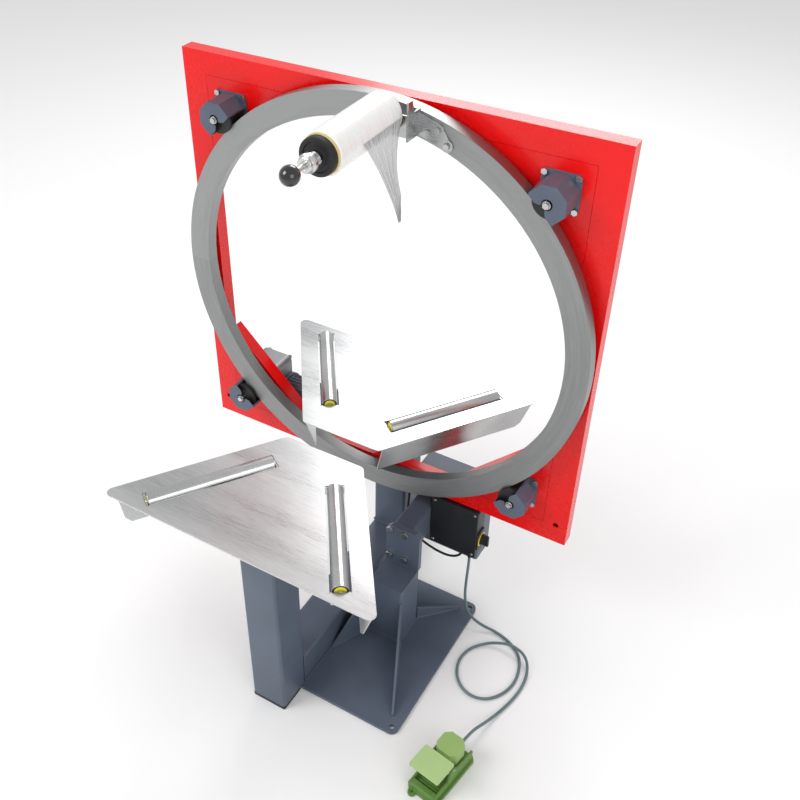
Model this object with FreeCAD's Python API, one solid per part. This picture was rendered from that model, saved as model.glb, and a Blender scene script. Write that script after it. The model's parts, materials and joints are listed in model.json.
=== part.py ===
"""Orbital stretch wrapper for round goods: a driven vertical ring carries a film roll around a load
that turns on a split roller table. Millimetres, +Z up, origin at the centre of the base plate's underside,
+Y towards the back of the machine."""
import FreeCAD, Part
import math
import os

V = FreeCAD.Vector
X_AXIS = V(1, 0, 0)
Y_AXIS = V(0, 1, 0)
Z_AXIS = V(0, 0, 1)

# ---- clearances -------------------------------------------------------------------------------------
running_fit = 0.05          # radial, shaft in a bearing or bush
bolt_play = 0.5             # radial, bolt in a plain hole
small_bolt_across = 13.0    # head of every M8 bolt
small_bolt_head = 5.3
guard_play = 1.0            # roller flange to the guard around it, and to the ring's two faces
ring_play = 0.3             # ring rim to roller groove

# ---- base and stand ---------------------------------------------------------------------------------
base_width = 400.0
base_depth = 490.0
base_thickness = 10.0
base_corner_radius = 20.0
base_hole_radius = 7.0
base_hole_inset = 18.0

tube_size = 100.0
tube_wall = 5.0
tube_corner = 8.0
machine_x = -136.0          # plane of the beam, the posts, the table and the ring
front_post_y = -275.0
rear_post_y = 359.0
pad_thickness = base_thickness

column_x = 19.0
column_y = 67.0
column_top_z = 213.0
plate_thickness = 8.0
head_top_z = 346.0
head_corner = 14.0
head_bolt_radius = 6.0
head_bolt_across = 19.0
head_bolt_head = 7.5
head_bolt_spacing_x = 46.0
head_bolt_spacing_z = 96.0
arm_width = 60.0
arm_bottom_z = 230.0
arm_top_z = 325.0

upright_left = -36.0
upright_right = 164.0
upright_depth = 80.0
upright_bottom_z = 145.0
upright_top_z = 410.0
upright_bolt_radius = 5.0
upright_bolt_across = 17.0
upright_bolt_head = 6.4
upright_bolt_inset = 30.0
upright_bolt_drop = 14.0

gusset_thickness = 6.0
gusset_toe = 6.0            # height of a gusset at its thin end

# ---- panel ------------------------------------------------------------------------------------------
panel_width = 1100.0
panel_height = 1095.0
panel_front_y = 249.0
panel_depth = 37.0
panel_centre_z = 925.0
opening_half_x = 496.0      # ring axis to the upright sides of the opening
opening_half_z = 492.0      # panel centre to its level sides
opening_diagonal = 505.0    # ring axis to its slanted sides
sheet_thickness = 3.0
corner_plate_x = 485.0      # joint between a corner plate and the frame
joint_gap = 0.8
ledge_width = 5.0           # frame behind a corner plate's edge
ledge_lap = 12.0            # and behind the frame's own front
corner_hole_radius = 7.0
corner_hole_x = 519.0
corner_hole_z = 490.0

# ---- ring and its rollers ---------------------------------------------------------------------------
ring_centre_z = 931.0
ring_outer_radius = 552.0
ring_inner_radius = 494.0
ring_front_y = 200.0
ring_depth = 32.0
ring_wall = 5.0

groove_radius = 33.7
flange_lip = 4.3
flange_thickness = 9.0
axle_radius = 8.0

guard_wall = 2.0
guard_cut = 20.0            # roller axis to the guard's open side
guard_hub_radius = 12.5
notch_neck = 8.0
notch_mouth = 20.0
guard_plate_width = 88.0
guard_plate_thickness = 3.0
guard_plate_chamfer = 6.0
guard_bolt_spacing = 74.0
guard_bolt_radius = 4.0
washer_radius = 9.0
washer_thickness = 1.5

# ---- drive ------------------------------------------------------------------------------------------
gearbox_size = 100.0
gearbox_depth = 78.0
worm_drop = 50.0            # output axis to motor axis
motor_radius = 46.0
motor_length = 165.0
motor_offset_y = 53.0       # panel back to motor axis
motor_flange_radius = 50.0
gearbox_boss_radius = 36.0
gearbox_corner_radius = 18.0
rear_boss_radius = 26.0
terminal_box_offset = 70.0  # gearbox side to the terminal box's middle
terminal_box_size = 66.0
terminal_box_height = 36.0

# ---- table ------------------------------------------------------------------------------------------
table_centre_y = 12.0
table_top_z = 656.0
table_sheet = 3.0
table_inner = 35.0          # table centre line to the inner edge of each half
table_outer = 424.0         # and to its outer edge
table_corner_radius = 16.0
roller_direction = 55.5     # degrees from X
edge_offset = 71.5          # roller axis to the slanted table edge
flange_length = 97.0        # down the slope of the folded flange
flange_lean = 18.0          # degrees from upright, leaning in
flange_start = 104.0        # along the roller axis from the table centre
flange_end = 531.0
flange_end_slope = 10.0
flange_end_chamfer = 14.0

slot_inner = 150.0
slot_outer = 475.0
slot_width = 47.0
table_roller_radius = 20.0
table_roller_wall = 2.0
table_roller_inner = 158.0
table_roller_outer = 468.0
table_axis_drop = 5.0
table_shaft_radius = 6.0
cap_length = 14.0
ear_thickness = 4.0
ear_depth = 22.0
foot_length = 26.0

top_plate_width = 150.0
top_plate_depth = 130.0
table_bolt_radius = 4.0
table_bolt_spacing_x = 124.0
table_bolt_spacing_y = 84.0

# ---- film unit --------------------------------------------------------------------------------------
roll_axis_radius = 542.5    # from the ring's axis
roll_axis_angle = 84.5      # degrees from X
core_inner_radius = 38.0
core_wall = 4.0
core_length = 240.0
film_radius = 46.0
film_length = 230.0
bracket_thickness = 4.0
bracket_arm_x = 115.0       # right face of the bracket's forward wall, from the ring's axis
bracket_front_y = 163.0
bracket_low = 490.0         # heights of the bracket above the ring's axis
bracket_high = 538.0
bracket_wall_front_y = 146.0
bracket_wall_high = 574.0   # beside the roll; lower where the roller guards pass
bracket_wall_back_high = 546.0
hub_radius = 28.0
bracket_bolts = ((134.0, 497.0), (157.0, 507.0), (179.0, 477.0))
bracket_bolt_radius = 4.0
lobe_radius = 14.0
flange_disc_radius = 40.0
rear_disc_thickness = 4.0
front_disc_thickness = 15.0
plug_length = 18.0
spindle_radius = 9.0
tip_radius = 6.0
spring_length = 20.0
spring_radius = 15.0
nut_radius = 20.0
nut_length = 20.0
nut_step = 8.0
knob_radius = 20.5
knob_reach = 26.0           # nut face to the ball's surface
tail_gap = 0.6
tail_thickness = 1.2

# ---- control box ------------------------------------------------------------------------------------
box_left = 36.0
box_right = 176.0
box_front_y = 239.0
box_bottom_z = 203.0
box_top_z = 373.0
box_wall = 3.0
box_corner = 6.0
lid_depth = 6.0
switch_y = 263.0
switch_z = 262.0
switch_plate_width = 42.0
switch_plate_height = 60.0
switch_plate_thickness = 5.0
knob_disc_radius = 16.0
knob_disc_thickness = 7.0
knob_bar_length = 38.0
knob_bar_width = 9.0
knob_bar_depth = 15.0

cable_diameter = 8.0
motor_cable_diameter = 7.0
gland_across = 22.0
gland_length = 12.0
spare_gland_x = 62.0
relief_length = 26.0
relief_flare = 2.5

# ---- foot switch ------------------------------------------------------------------------------------
foot_x = 349.0
foot_y = -271.0
foot_turn = -9.0            # degrees about Z, toe end towards -Y
foot_width = 90.0
foot_toe = -98.0            # along the switch's own Y axis
foot_heel = 82.0
foot_plate_height = 12.0
foot_wall_height = 46.0
foot_wall = 5.0
foot_wall_inset = 6.0
foot_wall_heel = 74.0
cap_front = 2.0
cap_back = 62.0
cap_half_width = 31.0
cap_top_z = 90.0
cap_chamfer = 14.0
pedal_half_width = 43.0
pedal_toe = -82.0
pedal_back = -13.0
pedal_top_z = 101.0
pedal_thickness = 6.0
pin_y = -6.0
pin_z = 60.0
pin_radius = 4.0
toe_bar_height = 30.0
neck_radius = 8.5
neck_length = 24.0
eye_radius = 10.0
eye_hole_radius = 3.5


# ---- shape helpers ----------------------------------------------------------------------------------
def block(x_range, y_range, z_range):
    """Block between three pairs of limits."""
    corner = V(x_range[0], y_range[0], z_range[0])
    size = V(x_range[1], y_range[1], z_range[1]) - corner
    return Part.makeBox(size.x, size.y, size.z, corner)


def rod(radius, start, end):
    """Round bar from one point to another."""
    along = end - start
    return Part.makeCylinder(radius, along.Length, start, along)


def prism(points, direction):
    """Straight-sided solid over a polygon of 3D points."""
    outline = Part.makePolygon(list(points) + [points[0]])
    return Part.Face(outline).extrude(direction)


def round_along(shape, direction, radius):
    """Round every straight edge that runs along a direction."""
    edges = []
    for edge in shape.Edges:
        if isinstance(edge.Curve, Part.Line) and abs(edge.Curve.Direction.dot(direction)) > 0.999:
            edges.append(edge)
    return shape.makeFillet(radius, edges)


def bevel_along(shape, direction, size):
    """Chamfer every straight edge that runs along a direction."""
    edges = []
    for edge in shape.Edges:
        if isinstance(edge.Curve, Part.Line) and abs(edge.Curve.Direction.dot(direction)) > 0.999:
            edges.append(edge)
    return shape.makeChamfer(size, edges)


def square_tube(x_range, y_range, z_range, direction):
    """Rolled box section that runs along a direction, open at both ends."""
    outer = round_along(block(x_range, y_range, z_range), direction, tube_corner)
    lows = [pair[0] + tube_wall for pair in (x_range, y_range, z_range)]
    highs = [pair[1] - tube_wall for pair in (x_range, y_range, z_range)]
    for index, component in enumerate((direction.x, direction.y, direction.z)):
        if component:
            lows[index] -= tube_wall
            highs[index] += tube_wall
    inner = block((lows[0], highs[0]), (lows[1], highs[1]), (lows[2], highs[2]))
    inner = round_along(inner, direction, tube_corner - tube_wall)
    return outer.cut(inner)


def hexagon(across, start, end):
    """Hexagonal bar between two points."""
    along = end - start
    across_axis = X_AXIS if abs(along.dot(X_AXIS)) < 0.5 * along.Length else Z_AXIS
    side = along.cross(across_axis)
    side.normalize()
    other = side.cross(along)
    other.normalize()
    corner = across / math.sqrt(3)
    points = []
    for step in range(6):
        turn = math.radians(60 * step)
        points.append(start + side * (corner * math.cos(turn)) + other * (corner * math.sin(turn)))
    return prism(points, along)


def bolt(seat, direction, radius, across, head, shank):
    """Hex bolt: its head stands off the seat, its shank goes the other way."""
    out = V(direction)
    out.normalize()
    top = hexagon(across, seat, seat + out * head)
    return top.fuse(rod(radius, seat - out * shank, seat + out * (head / 2))).removeSplitter()


def fused(shapes):
    """One solid from pieces that overlap or share faces."""
    whole = shapes[0]
    for shape in shapes[1:]:
        whole = whole.fuse(shape)
    return whole.removeSplitter()


def cut_all(shape, tools):
    """A shape with several tools cut out of it."""
    for tool in tools:
        shape = shape.cut(tool)
    return shape


def turned_about_y(radius, middle, y_from, y_to):
    """Disc or bar about an axis parallel to Y."""
    return rod(radius, V(middle.x, y_from, middle.z), V(middle.x, y_to, middle.z))


# ---- places worked out from the sizes above ---------------------------------------------------------
half_tube = tube_size / 2
ring_centre = V(machine_x, 0, ring_centre_z)
ring_back_y = ring_front_y + ring_depth
panel_back_y = panel_front_y + panel_depth
roller_offset = ring_outer_radius + ring_play + groove_radius
flange_radius = groove_radius + flange_lip
guard_apothem = flange_radius + guard_play + guard_wall
roller_front_y = ring_front_y - guard_play - flange_thickness
roller_back_y = ring_back_y + guard_play + flange_thickness
guard_front_y = roller_front_y - 13.0
guard_plate_y = panel_front_y - guard_plate_thickness
sheet_under_z = table_top_z - table_sheet
table_axis_z = table_top_z - table_axis_drop
top_plate_under_z = sheet_under_z - plate_thickness
head_middle_z = column_top_z + (head_top_z - column_top_z) / 2 + 4.5
head_front_y = column_y + half_tube - plate_thickness
arm_plate_y = head_front_y + plate_thickness
arm_x = column_x - 15.0
roll_axis = ring_centre + V(
    roll_axis_radius * math.cos(math.radians(roll_axis_angle)),
    0,
    roll_axis_radius * math.sin(math.radians(roll_axis_angle)),
)
core_back_y = bracket_front_y - ring_play - rear_disc_thickness
core_front_y = core_back_y - core_length
disc_front_y = core_front_y - front_disc_thickness
nut_back_y = disc_front_y - ring_play - spring_length
nut_front_y = nut_back_y - nut_length
knob_y = nut_front_y - knob_reach - knob_radius


def guide_place(number):
    """Axis point of a guide roller, numbered from the upper right against the clock."""
    turn = math.radians(45 + 90 * number)
    return ring_centre + V(roller_offset * math.cos(turn), 0, roller_offset * math.sin(turn))


# ---- stand ------------------------------------------------------------------------------------------
def base_plate():
    """Floor plate with four anchor holes."""
    half_x = base_width / 2
    half_y = base_depth / 2
    plate = block((-half_x, half_x), (-half_y, half_y), (0, base_thickness))
    plate = round_along(plate, Z_AXIS, base_corner_radius)
    for side in (-1, 1):
        for end in (-1, 1):
            centre = V(side * (half_x - base_hole_inset), end * (half_y - base_hole_inset), 0)
            plate = plate.cut(rod(base_hole_radius, centre, centre + Z_AXIS * base_thickness))
    return plate


def low_beam():
    """Box beam along the machine, from the front post to the rear pad."""
    return square_tube(
        (machine_x - half_tube, machine_x + half_tube),
        (front_post_y + half_tube, rear_post_y + half_tube),
        (base_thickness, base_thickness + tube_size),
        Y_AXIS,
    )


def post(middle_y, bottom_z):
    """Upright box section under one half of the table."""
    return square_tube(
        (machine_x - half_tube, machine_x + half_tube),
        (middle_y - half_tube, middle_y + half_tube),
        (bottom_z, top_plate_under_z),
        Z_AXIS,
    )


def plastic_end_pads():
    """Pads that bring the front post and the beam's rear end down to the floor."""
    x_range = (machine_x - half_tube, machine_x + half_tube)
    front = block(x_range, (front_post_y - half_tube, -base_depth / 2 - 1.0), (0, pad_thickness))
    rear = block(x_range, (rear_post_y - half_tube, rear_post_y + half_tube), (0, pad_thickness))
    return Part.makeCompound([round_along(front, Z_AXIS, 5.0), round_along(rear, Z_AXIS, 5.0)])


def table_bolt_places(middle_y):
    """The four table bolts of one post."""
    places = []
    for side in (-1, 1):
        for end in (-1, 1):
            x = machine_x + side * table_bolt_spacing_x / 2
            y = middle_y + end * table_bolt_spacing_y / 2
            places.append(V(x, y, top_plate_under_z))
    return places


def post_top_plates():
    """Plates welded on the posts, which the table halves are bolted to."""
    plates = []
    for middle_y in (front_post_y, rear_post_y):
        plate = block(
            (machine_x - top_plate_width / 2, machine_x + top_plate_width / 2),
            (middle_y - top_plate_depth / 2, middle_y + top_plate_depth / 2),
            (top_plate_under_z, sheet_under_z),
        )
        plate = round_along(plate, Z_AXIS, 8.0)
        for place in table_bolt_places(middle_y):
            hole = rod(table_bolt_radius + bolt_play, place, place + Z_AXIS * plate_thickness)
            plate = plate.cut(hole)
        plates.append(plate)
    return Part.makeCompound(plates)


def table_bolts():
    """Bolts up through the top plates into the table sheet's clinch threads."""
    bolts = []
    for middle_y in (front_post_y, rear_post_y):
        for place in table_bolt_places(middle_y):
            bolts.append(bolt(place, -Z_AXIS, table_bolt_radius, small_bolt_across, small_bolt_head,
                              plate_thickness))
    return bolts


def column():
    """Short box column beside the beam, closed by a cap."""
    x_range = (column_x - half_tube, column_x + half_tube)
    y_range = (column_y - half_tube, column_y + half_tube)
    tube = square_tube(x_range, y_range, (base_thickness, column_top_z - tube_wall), Z_AXIS)
    cap = block(x_range, y_range, (column_top_z - tube_wall, column_top_z))
    return fused([tube, round_along(cap, Z_AXIS, tube_corner)])


def gusset(foot, tip, height):
    """Triangular rib that stands on the base plate from the column's foot out to its tip."""
    along = tip - foot
    side = V(-along.y, along.x, 0)
    side.normalize()
    start = foot - side * (gusset_thickness / 2)
    end = tip - side * (gusset_thickness / 2)
    points = [start, end, end + Z_AXIS * gusset_toe, start + Z_AXIS * height]
    return prism(points, side * gusset_thickness)


def column_gussets():
    """Four ribs between the column and the base plate, the left ones short of the beam."""
    z = base_thickness
    reach = half_tube - 1.0
    right = column_x + reach
    left = column_x - reach
    front = column_y - reach
    back = column_y + reach
    beam_side = machine_x + half_tube + 3.0
    ribs = [
        gusset(V(right, front, z), V(168.0, -199.0, z), 160.0),
        gusset(V(right, back, z), V(156.0, 211.0, z), 45.0),
        gusset(V(left, front, z), V(beam_side, -96.0, z), 160.0),
        gusset(V(left, back, z), V(beam_side, 176.0, z), 45.0),
    ]
    tube = block(
        (column_x - half_tube, column_x + half_tube),
        (column_y - half_tube, column_y + half_tube),
        (z, column_top_z),
    )
    tube = round_along(tube, Z_AXIS, tube_corner)
    return Part.makeCompound([rib.cut(tube) for rib in ribs])


def head_bolt_places():
    """Centres of the four bolts through the column's head plate."""
    places = []
    for side in (-1, 1):
        for end in (-1, 1):
            x = arm_x + side * head_bolt_spacing_x / 2
            z = head_middle_z + end * head_bolt_spacing_z / 2
            places.append(V(x, head_front_y, z))
    return places


def flange_plate(y_from, hole_radius):
    """Plate as wide as the column, with its top corners cut and four bolt holes."""
    left = column_x - half_tube
    right = column_x + half_tube
    points = [
        V(left, y_from, column_top_z),
        V(right, y_from, column_top_z),
        V(right, y_from, head_top_z - head_corner),
        V(right - head_corner, y_from, head_top_z),
        V(left + head_corner, y_from, head_top_z),
        V(left, y_from, head_top_z - head_corner),
    ]
    plate = prism(points, Y_AXIS * plate_thickness)
    for place in head_bolt_places():
        start = V(place.x, y_from, place.z)
        plate = plate.cut(rod(hole_radius, start, start + Y_AXIS * plate_thickness))
    return plate


def flange_plates():
    """Head plate on the column and end plate on the arm, bolted face to face."""
    head = flange_plate(head_front_y, head_bolt_radius + bolt_play)
    end = flange_plate(arm_plate_y, head_bolt_radius)
    return Part.makeCompound([head, end])


def head_bolts():
    """Four hex bolts through the head plate into the tapped end plate."""
    bolts = []
    for place in head_bolt_places():
        reach = 2 * plate_thickness
        bolts.append(bolt(place, -Y_AXIS, head_bolt_radius, head_bolt_across, head_bolt_head, reach))
    return bolts


def rear_arm():
    """Box arm from the end plate back to the upright."""
    half = arm_width / 2
    return square_tube(
        (arm_x - half, arm_x + half),
        (arm_plate_y + plate_thickness, panel_back_y),
        (arm_bottom_z, arm_top_z),
        Y_AXIS,
    )


def upright_bolt_places():
    """Centres of the two long bolts through the upright into the panel frame."""
    z = upright_top_z - upright_bolt_drop
    left = V(upright_left + upright_bolt_inset, panel_back_y, z)
    right = V(upright_right - upright_bolt_inset, panel_back_y, z)
    return (left, right)


def rear_upright():
    """Wide box section that hangs the panel on the arm, with a closed top."""
    x_range = (upright_left, upright_right)
    y_range = (panel_back_y, panel_back_y + upright_depth)
    tube = square_tube(x_range, y_range, (upright_bottom_z, upright_top_z - tube_wall), Z_AXIS)
    cap = block(x_range, y_range, (upright_top_z - tube_wall, upright_top_z))
    whole = fused([tube, round_along(cap, Z_AXIS, tube_corner)])
    holes = []
    for place in upright_bolt_places():
        holes.append(rod(upright_bolt_radius + bolt_play, place, place + Y_AXIS * upright_depth))
    return cut_all(whole, holes)


def upright_bolts():
    """Long bolts from behind the upright into the panel frame's rear wall."""
    bolts = []
    for place in upright_bolt_places():
        seat = place + Y_AXIS * upright_depth
        reach = upright_depth + sheet_thickness
        bolts.append(bolt(seat, Y_AXIS, upright_bolt_radius, upright_bolt_across, upright_bolt_head, reach))
    return bolts


def frame_bolts():
    """All the bolts that hold the stand, the table and the panel together."""
    return Part.makeCompound(head_bolts() + table_bolts() + upright_bolts())


# ---- panel ------------------------------------------------------------------------------------------
def panel_block(half_x, half_z, y_range):
    """Block centred on the panel."""
    return block(
        (machine_x - half_x, machine_x + half_x),
        y_range,
        (panel_centre_z - half_z, panel_centre_z + half_z),
    )


def opening_prism(growth, y_range):
    """The panel's eight-sided opening as a prism, grown by a distance on every side."""
    diagonal = (opening_diagonal + growth) * math.sqrt(2)
    outline = []
    for x, z in ((diagonal, 0), (0, diagonal), (-diagonal, 0), (0, -diagonal)):
        outline.append(V(machine_x + x, y_range[0], ring_centre_z + z))
    diamond = prism(outline, Y_AXIS * (y_range[1] - y_range[0]))
    return diamond.common(panel_block(opening_half_x + growth, opening_half_z + growth, y_range))


def hollow_border():
    """Square frame of box section, as wide as the panel's border."""
    half_x = panel_width / 2
    half_z = panel_height / 2
    whole = (panel_front_y, panel_back_y)
    hollow = (panel_front_y + sheet_thickness, panel_back_y - sheet_thickness)
    frame = panel_block(half_x, half_z, whole).cut(panel_block(opening_half_x, opening_half_z, whole))
    room = panel_block(half_x - sheet_thickness, half_z - sheet_thickness, hollow)
    core = panel_block(opening_half_x + sheet_thickness, opening_half_z + sheet_thickness, hollow)
    return frame.cut(room.cut(core))


def panel_frame():
    """Border with flat wings beside the corner plates and ledges behind the plates' edges."""
    whole = (panel_front_y, panel_back_y)
    face = (panel_front_y, panel_front_y + sheet_thickness)
    behind = (face[1], face[1] + sheet_thickness)
    wings = panel_block(opening_half_x + 1.0, opening_half_z + 1.0, face)
    wings = wings.cut(panel_block(corner_plate_x, opening_half_z + 1.0, face))
    ledges = panel_block(corner_plate_x + ledge_lap, opening_half_z + 1.0, behind)
    ledges = ledges.cut(panel_block(corner_plate_x - ledge_width, opening_half_z - ledge_width, behind))
    ledges = ledges.cut(opening_prism(sheet_thickness + joint_gap, behind))
    wings = wings.cut(opening_prism(0, face))
    frame = fused([hollow_border(), wings, ledges])
    holes = []
    for side in (-1, 1):
        place = V(machine_x + side * corner_hole_x, 0, panel_centre_z - corner_hole_z)
        holes.append(turned_about_y(corner_hole_radius, place, whole[0], whole[1]))
    for place in upright_bolt_places():
        holes.append(rod(upright_bolt_radius, place - Y_AXIS * sheet_thickness, place))
    return cut_all(frame, holes)


def corner_plates():
    """Four flat plates that carry the guide rollers, folded back along the opening's slanted sides."""
    half_x = corner_plate_x - joint_gap
    half_z = opening_half_z - joint_gap
    face = (panel_front_y, panel_front_y + sheet_thickness)
    whole = (panel_front_y, panel_back_y)
    fold_x = corner_plate_x - ledge_width - joint_gap
    fold_z = opening_half_z - ledge_width - joint_gap
    fold = opening_prism(sheet_thickness, whole).common(panel_block(fold_x, fold_z, whole))
    sheet = fused([panel_block(half_x, half_z, face), fold])
    holes = [opening_prism(0, whole)]
    for number in range(4):
        holes.append(turned_about_y(axle_radius + bolt_play, guide_place(number), face[0], face[1]))
        for place in guard_bolt_places(number):
            holes.append(turned_about_y(guard_bolt_radius, place, face[0], face[1]))
    return cut_all(sheet, holes)


# ---- ring and rollers -------------------------------------------------------------------------------
def ring():
    """Channel ring with a flat front face, open at the back."""
    outline = [
        V(ring_inner_radius, ring_front_y, 0),
        V(ring_outer_radius, ring_front_y, 0),
        V(ring_outer_radius, ring_back_y, 0),
        V(ring_outer_radius - ring_wall, ring_back_y, 0),
        V(ring_outer_radius - ring_wall, ring_front_y + ring_wall, 0),
        V(ring_inner_radius + ring_wall, ring_front_y + ring_wall, 0),
        V(ring_inner_radius + ring_wall, ring_back_y, 0),
        V(ring_inner_radius, ring_back_y, 0),
    ]
    face = Part.Face(Part.makePolygon(outline + [outline[0]]))
    whole = face.revolve(V(0, 0, 0), Y_AXIS, 360)
    whole.translate(ring_centre)
    holes = []
    for x, z in bracket_bolts:
        place = ring_centre + V(x, 0, z)
        holes.append(turned_about_y(bracket_bolt_radius, place, ring_front_y, ring_front_y + ring_wall))
    return cut_all(whole, holes)


def guide_roller(number):
    """Grooved roller on the ring's rim; the drive roller is keyed to its shaft."""
    middle = guide_place(number)
    body = turned_about_y(groove_radius, middle, roller_front_y, roller_back_y)
    front = turned_about_y(flange_radius, middle, roller_front_y, roller_front_y + flange_thickness)
    back = turned_about_y(flange_radius, middle, roller_back_y - flange_thickness, roller_back_y)
    bore = axle_radius if number == 2 else axle_radius + running_fit
    return fused([body, front, back]).cut(turned_about_y(bore, middle, roller_front_y, roller_back_y))


def guide_axles():
    """Three fixed axles through the panel sheet, each with a washer and hex head in front."""
    axles = []
    for number in (0, 1, 3):
        middle = guide_place(number)
        bar = turned_about_y(axle_radius, middle, guard_front_y, panel_front_y + 20.0)
        nut_y = panel_front_y + sheet_thickness
        nut_seat = V(middle.x, nut_y, middle.z)
        collar = hexagon(24.0, nut_seat, nut_seat + Y_AXIS * 10.0)
        axles.append(fused([bar, collar]))
        axles.append(axle_screw(number))
    return Part.makeCompound(axles)


def axle_screw(number):
    """Washer and hex head in front of one axle end."""
    middle = guide_place(number)
    washer = turned_about_y(washer_radius, middle, guard_front_y - washer_thickness, guard_front_y)
    seat = V(middle.x, guard_front_y - washer_thickness, middle.z)
    return fused([washer, hexagon(small_bolt_across, seat, seat - Y_AXIS * small_bolt_head)])


def toward_ring(number):
    """Unit vectors of a guard: towards the ring's axis and across it."""
    inward = ring_centre - guide_place(number)
    inward.normalize()
    return inward, inward.cross(Y_AXIS)


def guard_prism(number, apothem, y_range):
    """Eight-sided prism about a roller's axis, cut off on the ring's side."""
    middle = guide_place(number)
    corner = apothem / math.cos(math.radians(22.5))
    outline = []
    for step in range(8):
        turn = math.radians(22.5 + 45 * step)
        outline.append(V(middle.x + corner * math.cos(turn), y_range[0], middle.z + corner * math.sin(turn)))
    return prism(outline, Y_AXIS * (y_range[1] - y_range[0]))


def ring_side(number, distance, y_range):
    """Large block beyond a plane that faces the ring, used to cut a guard open."""
    middle = guide_place(number)
    inward, across = toward_ring(number)
    start = V(middle.x, y_range[0], middle.z) + inward * distance
    reach = 3 * guard_plate_width
    points = [
        start + across * reach,
        start - across * reach,
        start - across * reach + inward * reach,
        start + across * reach + inward * reach,
    ]
    return prism(points, Y_AXIS * (y_range[1] - y_range[0]))


def guard_notch(number):
    """Keyhole in the guard's front face: round about the hub, then flared to the open side."""
    middle = guide_place(number)
    inward, across = toward_ring(number)
    y_range = (guard_front_y, guard_front_y + guard_wall)
    start = V(middle.x, y_range[0], middle.z)
    flare = guard_cut - 7.0
    points = [
        start + across * notch_neck,
        start + across * notch_neck + inward * flare,
        start + across * notch_mouth + inward * (guard_cut + 1.0),
        start - across * notch_mouth + inward * (guard_cut + 1.0),
        start - across * notch_neck + inward * flare,
        start - across * notch_neck,
    ]
    hub = turned_about_y(guard_hub_radius, middle, y_range[0], y_range[1])
    return fused([prism(points, Y_AXIS * guard_wall), hub])


def guard_bolt_places(number):
    """Four bolts at the corners of a guard's plate."""
    middle = guide_place(number)
    half = guard_bolt_spacing / 2
    places = []
    for side in (-1, 1):
        for end in (-1, 1):
            places.append(V(middle.x + side * half, guard_plate_y, middle.z + end * half))
    return places


def roller_guard(number):
    """Folded eight-sided guard over one roller, with its square mounting plate."""
    middle = guide_place(number)
    deep = (guard_front_y, guard_plate_y)
    shell = guard_prism(number, guard_apothem, deep)
    room = guard_prism(number, guard_apothem - guard_wall, (guard_front_y + guard_wall, guard_plate_y))
    shell = shell.cut(room)
    shell = shell.cut(ring_side(number, guard_cut, deep))
    shell = shell.cut(guard_notch(number))
    half = guard_plate_width / 2
    plate = block(
        (middle.x - half, middle.x + half),
        (guard_plate_y, panel_front_y),
        (middle.z - half, middle.z + half),
    )
    plate = bevel_along(plate, Y_AXIS, guard_plate_chamfer)
    guard = fused([shell, plate])
    holes = [turned_about_y(axle_radius + bolt_play, middle, guard_plate_y, panel_front_y)]
    for place in guard_bolt_places(number):
        holes.append(turned_about_y(guard_bolt_radius + bolt_play, place, guard_plate_y, panel_front_y))
    return cut_all(guard, holes)


def guard_bolts():
    """Hex bolts that hold the guards in the tapped corner plates."""
    bolts = []
    reach = guard_plate_thickness + sheet_thickness
    for number in range(4):
        for place in guard_bolt_places(number):
            bolts.append(bolt(place, -Y_AXIS, guard_bolt_radius, small_bolt_across, small_bolt_head, reach))
    return Part.makeCompound(bolts)


# ---- drive ------------------------------------------------------------------------------------------
def gearbox():
    """Worm gearbox behind the panel, with a boss through it to the corner plate."""
    middle = guide_place(2)
    half = gearbox_size / 2
    y_range = (panel_back_y + joint_gap, panel_back_y + gearbox_depth)
    body = block(
        (middle.x - half, middle.x + half),
        y_range,
        (middle.z - worm_drop - half, middle.z + half),
    )
    body = round_along(body, Y_AXIS, gearbox_corner_radius)
    boss = turned_about_y(gearbox_boss_radius, middle, panel_front_y + sheet_thickness, y_range[0] + 1.0)
    rear_boss = turned_about_y(rear_boss_radius, middle, y_range[1] - 1.0, y_range[1] + 8.0)
    bore = turned_about_y(axle_radius + running_fit, middle, panel_front_y, y_range[1] + 8.0)
    return fused([body, boss, rear_boss]).cut(bore)


def drive_shaft():
    """Shaft from the gearbox through the drive roller, with a washer and hex head in front."""
    middle = guide_place(2)
    bar = turned_about_y(axle_radius, middle, guard_front_y, panel_back_y + gearbox_depth - 4.0)
    return fused([bar, axle_screw(2)])


def motor_axis():
    """Point on the motor's axis at the gearbox's right side."""
    middle = guide_place(2)
    return V(middle.x + gearbox_size / 2, panel_back_y + motor_offset_y, middle.z - worm_drop)


def drive_motor():
    """Flanged motor on the side of the gearbox, with its fan cover and its terminal box."""
    start = motor_axis()
    flange = rod(motor_flange_radius, start, start + X_AXIS * 10.0)
    body = rod(motor_radius - 3.0, start, start + X_AXIS * (motor_length - 40.0))
    cover = rod(motor_radius, start + X_AXIS * (motor_length - 45.0), start + X_AXIS * motor_length)
    return Part.makeCompound([fused([flange, body, cover]), motor_terminal_box()])


def motor_terminal_box():
    """Box under the motor; the cable enters its right side."""
    start = motor_axis()
    half = terminal_box_size / 2
    middle_x = start.x + terminal_box_offset
    top = start.z - motor_radius + 14.0
    box = block(
        (middle_x - half, middle_x + half),
        (start.y - half + 8.0, start.y + half - 8.0),
        (top - terminal_box_height - 8.0, top),
    )
    box = round_along(box, Z_AXIS, 6.0)
    return box.cut(rod(motor_radius - 3.0, start, start + X_AXIS * motor_length))


# ---- table ------------------------------------------------------------------------------------------
def table_point(side, end, along, offset, z):
    """Point given along a table roller's axis and square to it, towards the slanted edge."""
    turn = math.radians(roller_direction)
    x = along * math.cos(turn) + offset * math.sin(turn)
    y = along * math.sin(turn) - offset * math.cos(turn)
    return V(machine_x + side * x, table_centre_y + end * y, z)


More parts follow.
